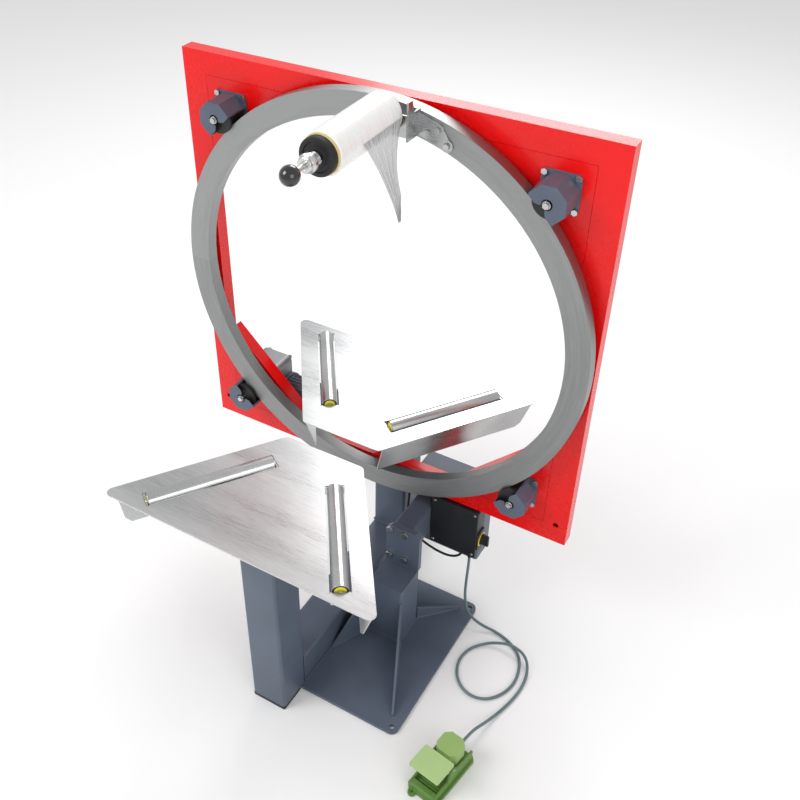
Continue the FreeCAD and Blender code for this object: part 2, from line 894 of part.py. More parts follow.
def table_corner(depth):
    """Half width of a table sheet at a depth from the table's centre line."""
    turn = math.radians(roller_direction)
    along = (depth + edge_offset * math.cos(turn)) / math.sin(turn)
    return along * math.cos(turn) + edge_offset * math.sin(turn)


def table_box(side, end, along_range, half_width, z_range):
    """Block aligned with a table roller."""
    points = []
    for along, offset in (
        (along_range[0], -half_width), (along_range[1], -half_width),
        (along_range[1], half_width), (along_range[0], half_width),
    ):
        points.append(table_point(side, end, along, offset, z_range[0]))
    return prism(points, Z_AXIS * (z_range[1] - z_range[0]))


def table_flange(side, end):
    """Flange folded down from a slanted table edge, leaning in, with a slanted outer end."""
    lean = math.radians(flange_lean)
    fall = math.cos(lean)
    shift = math.sin(lean)
    steps = (
        (flange_start, 0.0),
        (flange_end, 0.0),
        (flange_end - flange_end_slope, flange_length - flange_end_chamfer),
        (flange_end - flange_end_slope - flange_end_chamfer, flange_length),
        (flange_start, flange_length),
    )
    outer = []
    for along, down in steps:
        outer.append(table_point(side, end, along, edge_offset - down * shift, table_top_z - down * fall))
    inward = table_point(side, end, 0, -fall, -shift) - table_point(side, end, 0, 0, 0)
    return prism(outer, inward * table_sheet)


def table_half(end):
    """One half of the table: sheet, two folded flanges and two roller slots."""
    inner = table_corner(table_inner)
    outer = table_corner(table_outer)
    outline = [
        V(machine_x - inner, table_centre_y + end * table_inner, sheet_under_z),
        V(machine_x + inner, table_centre_y + end * table_inner, sheet_under_z),
        V(machine_x + outer, table_centre_y + end * table_outer, sheet_under_z),
        V(machine_x - outer, table_centre_y + end * table_outer, sheet_under_z),
    ]
    sheet = round_along(prism(outline, Z_AXIS * table_sheet), Z_AXIS, table_corner_radius)
    pieces = [sheet, table_flange(-1, end), table_flange(1, end)]
    whole = fused(pieces)
    top = block(
        (machine_x - 2 * outer, machine_x + 2 * outer),
        (table_centre_y - 2 * table_outer, table_centre_y + 2 * table_outer),
        (table_top_z, table_top_z + 10.0),
    )
    whole = whole.cut(top)
    slots = []
    for side in (-1, 1):
        slots.append(
            table_box(side, end, (slot_inner, slot_outer), slot_width / 2, (sheet_under_z, table_top_z))
        )
    return cut_all(whole, slots)


def table_axis_rod(side, end, radius, along_range):
    """Round bar on a table roller's axis."""
    start = table_point(side, end, along_range[0], 0, table_axis_z)
    stop = table_point(side, end, along_range[1], 0, table_axis_z)
    return rod(radius, start, stop)


def table_roller(side, end):
    """Steel roller tube."""
    span = (table_roller_inner, table_roller_outer)
    tube = table_axis_rod(side, end, table_roller_radius, span)
    return tube.cut(table_axis_rod(side, end, table_roller_radius - table_roller_wall, span))


def table_roller_caps(side, end):
    """Bearing cap pressed into each end of a roller tube."""
    caps = []
    radius = table_roller_radius - table_roller_wall
    for start, stop in (
        (table_roller_inner, table_roller_inner + cap_length),
        (table_roller_outer - cap_length, table_roller_outer),
    ):
        cap = table_axis_rod(side, end, radius, (start, stop))
        bore = table_axis_rod(side, end, table_shaft_radius + running_fit, (start, stop))
        caps.append(cap.cut(bore))
    return Part.makeCompound(caps)


def ear_spans():
    """Where the two ears of a roller stand along its axis: inner ear, then outer ear."""
    inner = (slot_inner + 0.5, slot_inner + 0.5 + ear_thickness)
    outer = (slot_outer - 0.5 - ear_thickness, slot_outer - 0.5)
    return inner, outer


def table_roller_shafts():
    """Fixed shafts that lie in the open notches of the ears."""
    inner, outer = ear_spans()
    shafts = []
    for side in (-1, 1):
        for end in (-1, 1):
            shafts.append(table_axis_rod(side, end, table_shaft_radius, (inner[0], outer[1])))
    return Part.makeCompound(shafts)


def roller_ear(side, end, span, foot_span):
    """Angle bracket: a notched ear inside the slot and a foot against the sheet's underside."""
    half = slot_width / 2 - 1.0
    ear = table_box(side, end, span, half, (table_axis_z - ear_depth + 3.0, sheet_under_z + 1.0))
    foot = table_box(side, end, foot_span, half, (sheet_under_z - ear_thickness, sheet_under_z))
    notch = table_box(side, end, span, table_shaft_radius, (table_axis_z, table_top_z))
    seat = table_axis_rod(side, end, table_shaft_radius, span)
    return cut_all(fused([ear, foot]), [notch, seat])


def table_roller_brackets():
    """Eight ears, two for each roller."""
    inner, outer = ear_spans()
    ears = []
    for side in (-1, 1):
        for end in (-1, 1):
            ears.append(roller_ear(side, end, inner, (inner[0] - foot_length, inner[1])))
            ears.append(roller_ear(side, end, outer, (outer[0], outer[1] + foot_length)))
    return Part.makeCompound(ears)


# ---- film unit --------------------------------------------------------------------------------------
def from_ring(x, y, z):
    """Point given in X and Z from the ring's axis."""
    return V(machine_x + x, y, ring_centre_z + z)


def film_bracket():
    """Folded bracket: foot on the ring's face, forward wall, and arm behind the film roll."""
    foot_y = ring_front_y - bracket_thickness
    lobes = []
    for x, z in bracket_bolts:
        lobes.append(turned_about_y(lobe_radius, from_ring(x, 0, z), foot_y, ring_front_y))
    outline = [
        from_ring(bracket_arm_x - bracket_thickness, foot_y, bracket_low),
        from_ring(bracket_bolts[2][0], foot_y, bracket_bolts[2][1] - lobe_radius),
        from_ring(bracket_bolts[2][0] + lobe_radius, foot_y, bracket_bolts[2][1]),
        from_ring(bracket_bolts[1][0] + 8.0, foot_y, bracket_bolts[1][1] + lobe_radius - 3.0),
        from_ring(bracket_bolts[1][0], foot_y, bracket_bolts[1][1] + lobe_radius),
        from_ring(bracket_arm_x - bracket_thickness, foot_y, bracket_high),
    ]
    foot = fused([prism(outline, Y_AXIS * bracket_thickness)] + lobes)
    wall_x = bracket_arm_x - bracket_thickness
    wall_outline = [
        from_ring(wall_x, ring_front_y, bracket_low),
        from_ring(wall_x, bracket_wall_front_y, bracket_low),
        from_ring(wall_x, bracket_wall_front_y, bracket_wall_high),
        from_ring(wall_x, bracket_front_y, bracket_wall_high),
        from_ring(wall_x, bracket_front_y + 10.0, bracket_wall_back_high),
        from_ring(wall_x, ring_front_y, bracket_wall_back_high),
    ]
    wall = prism(wall_outline, X_AXIS * bracket_thickness)
    arm_y = (bracket_front_y, bracket_front_y + bracket_thickness)
    arm = block(
        (roll_axis.x, machine_x + bracket_arm_x),
        arm_y,
        (ring_centre_z + bracket_low, ring_centre_z + bracket_high),
    )
    hub = turned_about_y(hub_radius, roll_axis, arm_y[0], arm_y[1])
    whole = fused([foot, wall, arm, hub])
    holes = [turned_about_y(spindle_radius, roll_axis, arm_y[0], arm_y[1])]
    for x, z in bracket_bolts:
        radius = bracket_bolt_radius + bolt_play
        holes.append(turned_about_y(radius, from_ring(x, 0, z), foot_y, ring_front_y))
    return cut_all(whole, holes)


def film_bracket_bolts():
    """Three hex bolts that hold the bracket on the ring's face."""
    bolts = []
    for x, z in bracket_bolts:
        seat = from_ring(x, ring_front_y - bracket_thickness, z)
        reach = bracket_thickness + ring_wall
        bolts.append(bolt(seat, -Y_AXIS, bracket_bolt_radius, small_bolt_across, small_bolt_head, reach))
    return Part.makeCompound(bolts)


def spindle():
    """Stepped spindle from the bracket to the ball knob."""
    root = turned_about_y(spindle_radius, roll_axis, bracket_front_y + bracket_thickness, nut_back_y)
    tip = turned_about_y(tip_radius, roll_axis, nut_back_y, knob_y + knob_radius / 2)
    return fused([root, tip])


def film_core():
    """Cardboard core."""
    outer = turned_about_y(core_inner_radius + core_wall, roll_axis, core_back_y, core_front_y)
    return outer.cut(turned_about_y(core_inner_radius, roll_axis, core_back_y, core_front_y))


def film_roll():
    """Wound film, a little narrower than its core."""
    margin = (core_length - film_length) / 2
    ends = (core_back_y - margin, core_front_y + margin)
    outer = turned_about_y(film_radius, roll_axis, ends[0], ends[1])
    return outer.cut(turned_about_y(core_inner_radius + core_wall, roll_axis, ends[0], ends[1]))


def end_disc(face_y, disc_y, plug_y):
    """Disc against one end of the core with a plug inside it and a bore for the spindle."""
    disc = turned_about_y(flange_disc_radius, roll_axis, face_y, disc_y)
    plug = turned_about_y(core_inner_radius, roll_axis, face_y, plug_y)
    bore = turned_about_y(spindle_radius + running_fit, roll_axis, disc_y, plug_y)
    return fused([disc, plug]).cut(bore)


def rear_flange():
    """Disc behind the core."""
    return end_disc(core_back_y, core_back_y + rear_disc_thickness, core_back_y - plug_length)


def front_flange():
    """Thicker disc in front of the core."""
    return end_disc(core_front_y, disc_front_y, core_front_y + plug_length)


def brake_spring():
    """Outer shape of the coil spring between the front disc and the nut."""
    outer = turned_about_y(spring_radius, roll_axis, nut_back_y, nut_back_y + spring_length)
    return outer.cut(turned_about_y(spindle_radius, roll_axis, nut_back_y, nut_back_y + spring_length))


def clamp_nut():
    """Brake nut: a round collar with a smaller step in front."""
    step_y = nut_front_y + nut_step
    collar = turned_about_y(nut_radius, roll_axis, nut_back_y, step_y)
    step = turned_about_y(nut_radius - 4.0, roll_axis, step_y, nut_front_y)
    bore = turned_about_y(tip_radius + running_fit, roll_axis, nut_back_y, nut_front_y)
    return fused([collar, step]).cut(bore)


def ball_knob():
    """Ball knob on the spindle's tip."""
    ball = Part.makeSphere(knob_radius, V(roll_axis.x, knob_y, roll_axis.z))
    neck = turned_about_y(8.0, roll_axis, knob_y, knob_y + knob_radius + 3.0)
    socket = turned_about_y(tip_radius, roll_axis, knob_y + knob_radius / 2, knob_y + knob_radius + 3.0)
    return fused([ball, neck]).cut(socket)


def film_tail():
    """Loose end of the film, hanging from the roll's right side and gathered to a point."""
    x = roll_axis.x + film_radius + tail_gap
    top = roll_axis.z
    outline = (
        (core_back_y - 10.0, 0.0), (core_back_y - 10.0, -44.0), (core_back_y - 22.0, -116.0),
        (core_back_y - 30.0, -166.0), (core_back_y - 16.0, -212.0), (core_back_y - 8.0, -238.0),
        (core_back_y - 16.0, -238.0), (core_back_y - 44.0, -176.0), (core_back_y - 66.0, -128.0),
        (core_back_y - 100.0, -78.0), (core_back_y - 140.0, -28.0), (core_back_y - 165.0, 0.0),
    )
    return prism([V(x, y, top + drop) for y, drop in outline], X_AXIS * tail_thickness)


# ---- control box ------------------------------------------------------------------------------------
def control_box():
    """Hollow box on the upright's front face, open at the front under its lid."""
    outer = block((box_left, box_right), (box_front_y + lid_depth, panel_back_y), (box_bottom_z, box_top_z))
    outer = round_along(outer, Y_AXIS, box_corner)
    inner = block(
        (box_left + box_wall, box_right - box_wall),
        (box_front_y + lid_depth, panel_back_y - box_wall),
        (box_bottom_z + box_wall, box_top_z - box_wall),
    )
    return outer.cut(round_along(inner, Y_AXIS, box_corner - box_wall))


def control_box_lid():
    """Lid of the control box."""
    lid = block((box_left, box_right), (box_front_y, box_front_y + lid_depth), (box_bottom_z, box_top_z))
    return round_along(lid, Y_AXIS, box_corner)


def main_switch_plate():
    """Square plate of the main switch on the box's right side."""
    half_y = switch_plate_width / 2
    half_z = switch_plate_height / 2
    plate = block(
        (box_right, box_right + switch_plate_thickness),
        (switch_y - half_y, switch_y + half_y),
        (switch_z - half_z, switch_z + half_z),
    )
    return round_along(plate, X_AXIS, 5.0)


def main_switch_knob():
    """Turning knob: a disc with a grip bar across it."""
    x = box_right + switch_plate_thickness
    start = V(x, switch_y, switch_z)
    disc = rod(knob_disc_radius, start, start + X_AXIS * knob_disc_thickness)
    half = knob_bar_length / 2
    bar = block(
        (x, x + knob_disc_thickness + knob_bar_depth),
        (switch_y - knob_bar_width / 2, switch_y + knob_bar_width / 2),
        (switch_z - half, switch_z + half),
    )
    bar = round_along(bar, X_AXIS, knob_bar_width / 2 - 0.5)
    return fused([disc, bar])


def gland(x, y, bore):
    """Hex cable gland under the control box; a bore of nothing leaves it plugged."""
    seat = V(x, y, box_bottom_z)
    nut = hexagon(gland_across, seat, seat - Z_AXIS * (gland_length / 2))
    dome_start = seat - Z_AXIS * (gland_length / 2)
    dome = rod(gland_across / 2 - 1.5, dome_start, dome_start - Z_AXIS * (gland_length / 2))
    body = fused([nut, dome])
    if bore:
        body = body.cut(rod(bore, seat, seat - Z_AXIS * gland_length))
    return body


def cable_glands():
    """Glands of the two cables and one plugged gland for a supply lead."""
    foot = gland(foot_cable_points[0].x, foot_cable_points[0].y, cable_diameter / 2)
    motor = gland(motor_cable_points[0].x, motor_cable_points[0].y, motor_cable_diameter / 2)
    spare = gland(spare_gland_x, foot_cable_points[0].y - 6.0, 0)
    return Part.makeCompound([foot, motor, spare])


def foot_cable_relief():
    """Tapered sleeve around the cable below its gland, with the cable's core inside the gland."""
    place = foot_cable_points[0]
    top = box_bottom_z - gland_length
    radius = cable_diameter / 2
    sleeve = Part.makeCone(
        radius + 1.0, radius + 1.0 + relief_flare, relief_length, V(place.x, place.y, top - relief_length)
    )
    plug = rod(radius, V(place.x, place.y, top), V(place.x, place.y, box_bottom_z))
    return fused([sleeve, plug])


# ---- cables -----------------------------------------------------------------------------------------
foot_cable_points = [
    V(149, 269, 165), V(149, 269, 132), V(154, 251, 95), V(166, 220, 60), V(186, 194, 38),
    V(213, 183, 26), V(245, 185, 13), V(280, 192, 4), V(326, 181, 4), V(369, 154, 4),
    V(391, 109, 4), V(397, 56, 4), V(381, 6, 4), V(347, -30, 4), V(299, -35, 4),
    V(255, -3, 4), V(234, 49, 4), V(242, 101, 4), V(276, 141, 6), V(312, 157, 13),
    V(346, 160, 22), V(390, 147, 22), V(414, 112, 10), V(420, 59, 4), V(412, 2, 4),
    V(397, -50, 5), V(383, -96, 14), V(372, -132, 26), V(366.5, -160, 31), V(361.5, -192, 32),
]
motor_cable_points = [
    V(126, 271, 191), V(126, 271, 170), V(112, 268, 149), V(84, 265, 139), V(48, 263, 143),
    V(10, 262, 155), V(-26, 263, 175), V(-50, 269, 206), V(-59, 281, 246), V(-61, 293, 296),
    V(-65, 298, 350), V(-86, 298, 394), V(-130, 297, 414), V(-190, 297, 417), V(-245, 300, 410),
    V(-297, 317, 405), V(-349, 339, 408), V(-397.36, 339, 408),
]


def cable(points, diameter, name):
    """Round cable along straight runs joined by tangent arcs as large as the runs allow."""
    edges = []
    start = points[0]
    radii = []
    for index in range(1, len(points) - 1):
        before = points[index] - points[index - 1]
        after = points[index + 1] - points[index]
        turn = before.getAngle(after)
        trim = 0.45 * min(before.Length, after.Length)
        radii.append(trim / math.tan(turn / 2))
        before.normalize()
        after.normalize()
        enter = points[index] - before * trim
        leave = points[index] + after * trim
        chord_middle = (enter + leave) * 0.5
        toward = points[index] - chord_middle
        toward.normalize()
        sagitta = trim * math.cos(turn / 2) * math.tan(turn / 4)
        edges.append(Part.LineSegment(start, enter).toShape())
        edges.append(Part.Arc(enter, chord_middle + toward * sagitta, leave).toShape())
        start = leave
    edges.append(Part.LineSegment(start, points[-1]).toShape())
    path = Part.Wire(edges)
    along = points[1] - points[0]
    section = Part.Wire([Part.Circle(points[0], along, diameter / 2).toShape()])
    sweep = path.makePipeShell([section], True, False)
    expected = math.pi * (diameter / 2) ** 2 * path.Length
    print(name, "length", round(path.Length, 1), "smallest radius", round(min(radii), 1),
          "volume ratio", round(sweep.Volume / expected, 4))
    return sweep


def foot_cable():
    """Free cable from the control box to the foot switch."""
    return cable(foot_cable_points, cable_diameter, "foot_cable")


def motor_cable():
    """Cable from the control box to the motor's terminal box."""
    return cable(motor_cable_points, motor_cable_diameter, "motor_cable")


# ---- foot switch ------------------------------------------------------------------------------------
def placed(shape):
    """A foot switch piece turned and moved from its own axes to its place on the floor."""
    shape.rotate(V(0, 0, 0), Z_AXIS, foot_turn)
    shape.translate(V(foot_x, foot_y, 0))
    return shape


def foot_switch_base():
    """Floor plate, side walls and toe bar of the foot switch, with two fixing eyes at the toe."""
    half = foot_width / 2
    plate = block((-half, half), (foot_toe + 12.0, foot_heel), (0, foot_plate_height))
    plate = bevel_along(plate, Z_AXIS, 9.0)
    pieces = [plate]
    inset = half - foot_wall_inset
    for side in (-1, 1):
        x_range = sorted((side * inset, side * (inset - foot_wall)))
        wall = prism(
            [
                V(x_range[0], foot_toe + 14.0, foot_plate_height - 1.0),
                V(x_range[0], foot_wall_heel, foot_plate_height - 1.0),
                V(x_range[0], foot_wall_heel, foot_wall_height),
                V(x_range[0], 10.0, foot_wall_height + 8.0),
                V(x_range[0], pin_y, pin_z + 9.0),
                V(x_range[0], pin_y - 12.0, pin_z + 5.0),
                V(x_range[0], pin_y - 22.0, foot_wall_height - 12.0),
                V(x_range[0], foot_toe + 14.0, toe_bar_height),
            ],
            X_AXIS * (x_range[1] - x_range[0]),
        )
        pieces.append(wall)
        eye = rod(eye_radius, V(side * 24.0, foot_toe + 8.0, 0), V(side * 24.0, foot_toe + 8.0, 8.0))
        pieces.append(eye)
    bar = block((-inset + 1.0, inset - 1.0), (foot_toe + 14.0, foot_toe + 32.0), (8.0, toe_bar_height))
    pieces.append(round_along(bar, X_AXIS, 4.0))
    for step in range(5):
        y = -58.0 + 9.0 * step
        pieces.append(block((-inset + 1.0, inset - 1.0), (y, y + 4.0), (foot_plate_height - 1.0, 16.0)))
    whole = fused(pieces)
    holes = [rod(pin_radius, V(-half, pin_y, pin_z), V(half, pin_y, pin_z))]
    for side in (-1, 1):
        centre = V(side * 24.0, foot_toe + 8.0, 0)
        holes.append(rod(eye_hole_radius, centre, centre + Z_AXIS * 8.0))
    return placed(cut_all(whole, holes))


def foot_switch_cap():
    """Rounded rear housing of the foot switch, with the cable's entry at the heel."""
    cap = block((-cap_half_width, cap_half_width), (cap_front, cap_back), (foot_plate_height, cap_top_z))
    cap = placed(bevel_along(cap, Z_AXIS, cap_chamfer))
    along = foot_cable_points[-1] - foot_cable_points[-2]
    along.normalize()
    entry = foot_cable_points[-1]
    neck = rod(neck_radius, entry, entry + along * neck_length)
    return fused([cap, neck])


def foot_pedal():
    """Pedal plate with two arms down to its pin."""
    top = block(
        (-pedal_half_width, pedal_half_width),
        (pedal_toe, pedal_back),
        (pedal_top_z - pedal_thickness, pedal_top_z),
    )
    top = round_along(top, Z_AXIS, 4.0)
    pieces = [top]
    inner = foot_width / 2 - foot_wall_inset - foot_wall - 0.5
    for side in (-1, 1):
        x_range = sorted((side * inner, side * (inner - 4.0)))
        arm = prism(
            [
                V(x_range[0], pedal_toe + 18.0, pedal_top_z - pedal_thickness + 1.0),
                V(x_range[0], pedal_back, pedal_top_z - pedal_thickness + 1.0),
                V(x_range[0], pin_y + 6.0, pin_z + 4.0),
                V(x_range[0], pin_y + 6.0, pin_z - 5.0),
                V(x_range[0], pin_y - 8.0, pin_z - 6.0),
                V(x_range[0], pedal_toe + 30.0, pedal_top_z - 22.0),
            ],
            X_AXIS * (x_range[1] - x_range[0]),
        )
        pieces.append(arm)
    whole = fused(pieces)
    half = foot_width / 2
    return placed(whole.cut(rod(pin_radius + running_fit, V(-half, pin_y, pin_z), V(half, pin_y, pin_z))))


def pedal_pin():
    """Hinge pin of the pedal."""
    reach = foot_width / 2 - foot_wall_inset
    return placed(rod(pin_radius, V(-reach, pin_y, pin_z), V(reach, pin_y, pin_z)))


# ---- every node -------------------------------------------------------------------------------------
nodes = {
    "base_plate": base_plate(),
    "low_beam": low_beam(),
    "front_post": post(front_post_y, base_thickness),
    "rear_post": post(rear_post_y, base_thickness + tube_size),
    "plastic_end_pads": plastic_end_pads(),
    "post_top_plates": post_top_plates(),
    "column": column(),
    "column_gussets": column_gussets(),
    "flange_plates": flange_plates(),
    "rear_arm": rear_arm(),
    "rear_upright": rear_upright(),
    "frame_bolts": frame_bolts(),
    "panel_frame": panel_frame(),
    "corner_plates": corner_plates(),
    "ring": ring(),
    "guide_axles": guide_axles(),
    "roller_guards": Part.makeCompound([roller_guard(number) for number in range(4)]),
    "guard_bolts": guard_bolts(),
    "gearbox": gearbox(),
    "drive_shaft": drive_shaft(),
    "drive_motor": drive_motor(),
    "front_table": table_half(-1),
    "rear_table": table_half(1),
    "table_roller_shafts": table_roller_shafts(),
    "table_roller_brackets": table_roller_brackets(),
    "film_bracket": film_bracket(),
    "film_bracket_bolts": film_bracket_bolts(),
    "spindle": spindle(),
    "film_core": film_core(),
    "film_roll": film_roll(),
    "rear_flange": rear_flange(),
    "front_flange": front_flange(),
    "brake_spring": brake_spring(),
    "clamp_nut": clamp_nut(),
    "ball_knob": ball_knob(),
    "film_tail": film_tail(),
    "control_box": control_box(),
    "control_box_lid": control_box_lid(),
    "main_switch_plate": main_switch_plate(),
    "main_switch_knob": main_switch_knob(),
    "cable_glands": cable_glands(),
    "foot_cable_relief": foot_cable_relief(),
    "foot_cable": foot_cable(),
    "motor_cable": motor_cable(),
    "foot_switch_base": foot_switch_base(),
    "foot_switch_cap": foot_switch_cap(),
    "foot_pedal": foot_pedal(),
    "pedal_pin": pedal_pin(),
}
guide_names = ("upper_right", "upper_left", "drive", "lower_right")
for number, name in enumerate(guide_names):
    nodes["guide_roller_" + name] = guide_roller(number)
table_places = {"front_left": (-1, -1), "front_right": (1, -1), "rear_left": (-1, 1), "rear_right": (1, 1)}
for name, (side, end) in table_places.items():
    nodes["table_roller_" + name] = table_roller(side, end)
    nodes["roller_caps_" + name] = table_roller_caps(side, end)

os.makedirs("parts", exist_ok=True)
for name, shape in nodes.items():
    shape.exportStep("parts/" + name + ".step")
    if not shape.isValid():
        print("not valid:", name)
print(len(nodes), "nodes")
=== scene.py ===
"""Orbital film wrapper for round goods: the visible pieces, finishes, light and camera.
Metres, +Z up, origin at the centre of the base plate's underside."""

import json
import math
import random

import bmesh
import bpy
from mathutils import Matrix, Vector


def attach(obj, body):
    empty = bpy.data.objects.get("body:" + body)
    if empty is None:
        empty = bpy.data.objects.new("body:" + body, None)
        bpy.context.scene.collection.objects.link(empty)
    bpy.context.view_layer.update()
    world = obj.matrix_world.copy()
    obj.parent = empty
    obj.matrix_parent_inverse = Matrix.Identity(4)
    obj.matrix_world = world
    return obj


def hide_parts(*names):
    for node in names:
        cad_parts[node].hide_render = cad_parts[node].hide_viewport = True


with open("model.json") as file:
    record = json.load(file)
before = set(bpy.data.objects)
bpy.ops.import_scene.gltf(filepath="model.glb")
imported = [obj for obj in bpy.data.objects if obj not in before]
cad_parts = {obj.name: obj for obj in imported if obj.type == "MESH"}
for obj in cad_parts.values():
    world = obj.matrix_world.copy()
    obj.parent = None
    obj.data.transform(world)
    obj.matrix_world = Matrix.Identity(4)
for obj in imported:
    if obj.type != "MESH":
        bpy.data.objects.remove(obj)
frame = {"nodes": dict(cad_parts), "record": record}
SHARP_FROM = math.radians(32)
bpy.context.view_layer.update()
body_of_node = {}
for body, nodes in frame["record"]["behaviour"]["bodies"].items():
    for node in nodes:
        body_of_node[node] = body

# ---- sizes that the pieces share with the machine ----------------------------------------------------
RING_CENTRE = Vector((-0.136, 0.216, 0.931))
ROLL_ANGLE = math.radians(84.5)
ROLL_AXIS = Vector((
    RING_CENTRE.x + 0.5425 * math.cos(ROLL_ANGLE),
    0.0,
    RING_CENTRE.z + 0.5425 * math.sin(ROLL_ANGLE),
))
FILM_RADIUS = 0.046
CORE_OUTSIDE = 0.0421
FILM_EDGE_RADIUS = 0.0449
FILM_SHOULDER_RADIUS = 0.0456
FILM_SHOULDER = 0.0006
CORE_BACK_Y = 0.1587
CORE_FRONT_Y = -0.0813
DISC_FRONT_Y = -0.0963
SPRING_FRONT_Y = -0.1166
NUT_FRONT_Y = -0.1366
KNOB_Y = -0.1831
KNOB_RADIUS = 0.0205
ROLLER_DIRECTION = math.radians(55.5)
TABLE_CENTRE = Vector((-0.136, 0.012, 0.651))
ROLLER_ENDS = (0.158, 0.468)
TABLE_PLACES = {"front_left": (-1, -1), "front_right": (1, -1), "rear_left": (-1, 1), "rear_right": (1, 1)}


# ---- camera ------------------------------------------------------------------------------------------
def place_camera():
    """High three-quarter view from the machine's front right."""
    data = bpy.data.cameras.new("camera")
    camera = bpy.data.objects.new("camera", data)
    bpy.context.scene.collection.objects.link(camera)
    ahead = Vector((-0.41729, 0.66632, -0.61796)).normalized()
    right = Vector((0.85163, 0.52406, -0.01001)).normalized()
    up = right.cross(ahead)
    camera.matrix_world = Matrix((
        (right.x, up.x, -ahead.x, 0.880),
        (right.y, up.y, -ahead.y, -1.532),
        (right.z, up.z, -ahead.z, 2.276),
        (0, 0, 0, 1),
    ))
    data.sensor_width = 36.0
    data.lens = 44.67
    data.shift_x = 0.0646
    data.shift_y = -0.0123
    data.clip_end = 50.0
    bpy.context.scene.camera = camera


# ---- node and mesh helpers ---------------------------------------------------------------------------
def linear(code):
    """Linear colour of an sRGB hex value."""
    parts = [int(code[i:i + 2], 16) / 255 for i in (1, 3, 5)]
    return [p / 12.92 if p <= 0.04045 else ((p + 0.055) / 1.055) ** 2.4 for p in parts] + [1.0]


def add(tree, kind, settings=None, links=None):
    """Adds a node with its settings, each an attribute or an input, and its links."""
    node = tree.nodes.new(kind)
    for name, value in (settings or {}).items():
        if isinstance(name, str) and hasattr(node, name):
            setattr(node, name, value)
        else:
            node.inputs[name].default_value = value
    for name, source in (links or {}).items():
        tree.links.new(source, node.inputs[name])
    return node


def start_material(name, **surface):
    """A material with its shader's uniform values set, and its node tree and shader."""
    material = bpy.data.materials.new(name)
    material.use_nodes = True
    tree = material.node_tree
    shader = tree.nodes["Principled BSDF"]
    for socket, value in surface.items():
        shader.inputs[socket.replace("_", " ")].default_value = value
    return material, tree, shader


def finish_with_grain(tree, shader, place, tones, grain, depth, roughness):
    """Tints, roughens and bumps a shader with one pattern of the grain's scale, in 1/m, at a place."""
    pattern = add(tree, "ShaderNodeTexNoise", {"Scale": grain, "Detail": 5.0, "Roughness": 0.6},
                  {"Vector": place})
    cloud = add(tree, "ShaderNodeTexNoise", {"Scale": 6.0, "Detail": 3.0}, {"Vector": place})
    blend = add(tree, "ShaderNodeMath", {"operation": "MULTIPLY_ADD", 1: 0.35, 2: 0.0},
                {0: pattern.outputs["Fac"]})
    total = add(tree, "ShaderNodeMath", {"operation": "MULTIPLY_ADD", 1: 0.65},
                {0: cloud.outputs["Fac"], 2: blend.outputs[0]})
    ramp = add(tree, "ShaderNodeValToRGB", links={"Fac": total.outputs[0]})
    ramp.color_ramp.elements[0].position = 0.36
    ramp.color_ramp.elements[1].position = 0.64
    for element, tone in zip(ramp.color_ramp.elements, tones):
        element.color = linear(tone)
    dull = add(tree, "ShaderNodeMapRange", {"From Min": 0.3, "From Max": 0.7, "To Min": roughness[0],
                                            "To Max": roughness[1]}, {"Value": total.outputs[0]})
    bump = add(tree, "ShaderNodeBump", {"Strength": 1.0, "Distance": depth},
               {"Height": pattern.outputs["Fac"]})
    tree.links.new(ramp.outputs["Color"], shader.inputs["Base Color"])
    tree.links.new(dull.outputs[0], shader.inputs["Roughness"])
    tree.links.new(bump.outputs["Normal"], shader.inputs["Normal"])


def plain_finish(name, tones, grain, depth, roughness, **surface):
    """A finish whose grain is the same in every direction."""
    material, tree, shader = start_material(name, **surface)
    place = add(tree, "ShaderNodeTexCoord").outputs["Object"]
    finish_with_grain(tree, shader, place, tones, grain, depth, roughness)
    return material


def streaked_finish(name, tones, grain, depth, roughness, stretch, **surface):
    """A finish whose grain is drawn out along one direction by a stretch of each axis."""
    material, tree, shader = start_material(name, **surface)
    coordinates = add(tree, "ShaderNodeTexCoord")
    place = add(tree, "ShaderNodeMapping", {"Scale": stretch}, {"Vector": coordinates.outputs["Object"]})
    finish_with_grain(tree, shader, place.outputs["Vector"], tones, grain, depth, roughness)
    return material


def turned_finish(name, centre, tones, grain, depth, roughness, along=0.04, **surface):
    """A finish whose grain runs round an axis parallel to Y through a centre."""
    material, tree, shader = start_material(name, **surface)
    coordinates = add(tree, "ShaderNodeTexCoord")
    local = add(tree, "ShaderNodeVectorMath", {"operation": "SUBTRACT", 1: centre},
                {0: coordinates.outputs["Object"]})
    parts = add(tree, "ShaderNodeSeparateXYZ", links={0: local.outputs[0]})
    flat = add(tree, "ShaderNodeCombineXYZ", links={"X": parts.outputs["X"], "Z": parts.outputs["Z"]})
    radius = add(tree, "ShaderNodeVectorMath", {"operation": "LENGTH"}, {0: flat.outputs[0]})
    angle = add(tree, "ShaderNodeMath", {"operation": "ARCTAN2"},
                {0: parts.outputs["Z"], 1: parts.outputs["X"]})
    drawn = add(tree, "ShaderNodeMath", {"operation": "MULTIPLY", 1: along}, {0: angle.outputs[0]})
    place = add(tree, "ShaderNodeCombineXYZ", links={
        "X": radius.outputs["Value"], "Y": parts.outputs["Y"], "Z": drawn.outputs[0]})
    finish_with_grain(tree, shader, place.outputs[0], tones, grain, depth, roughness)
    return material


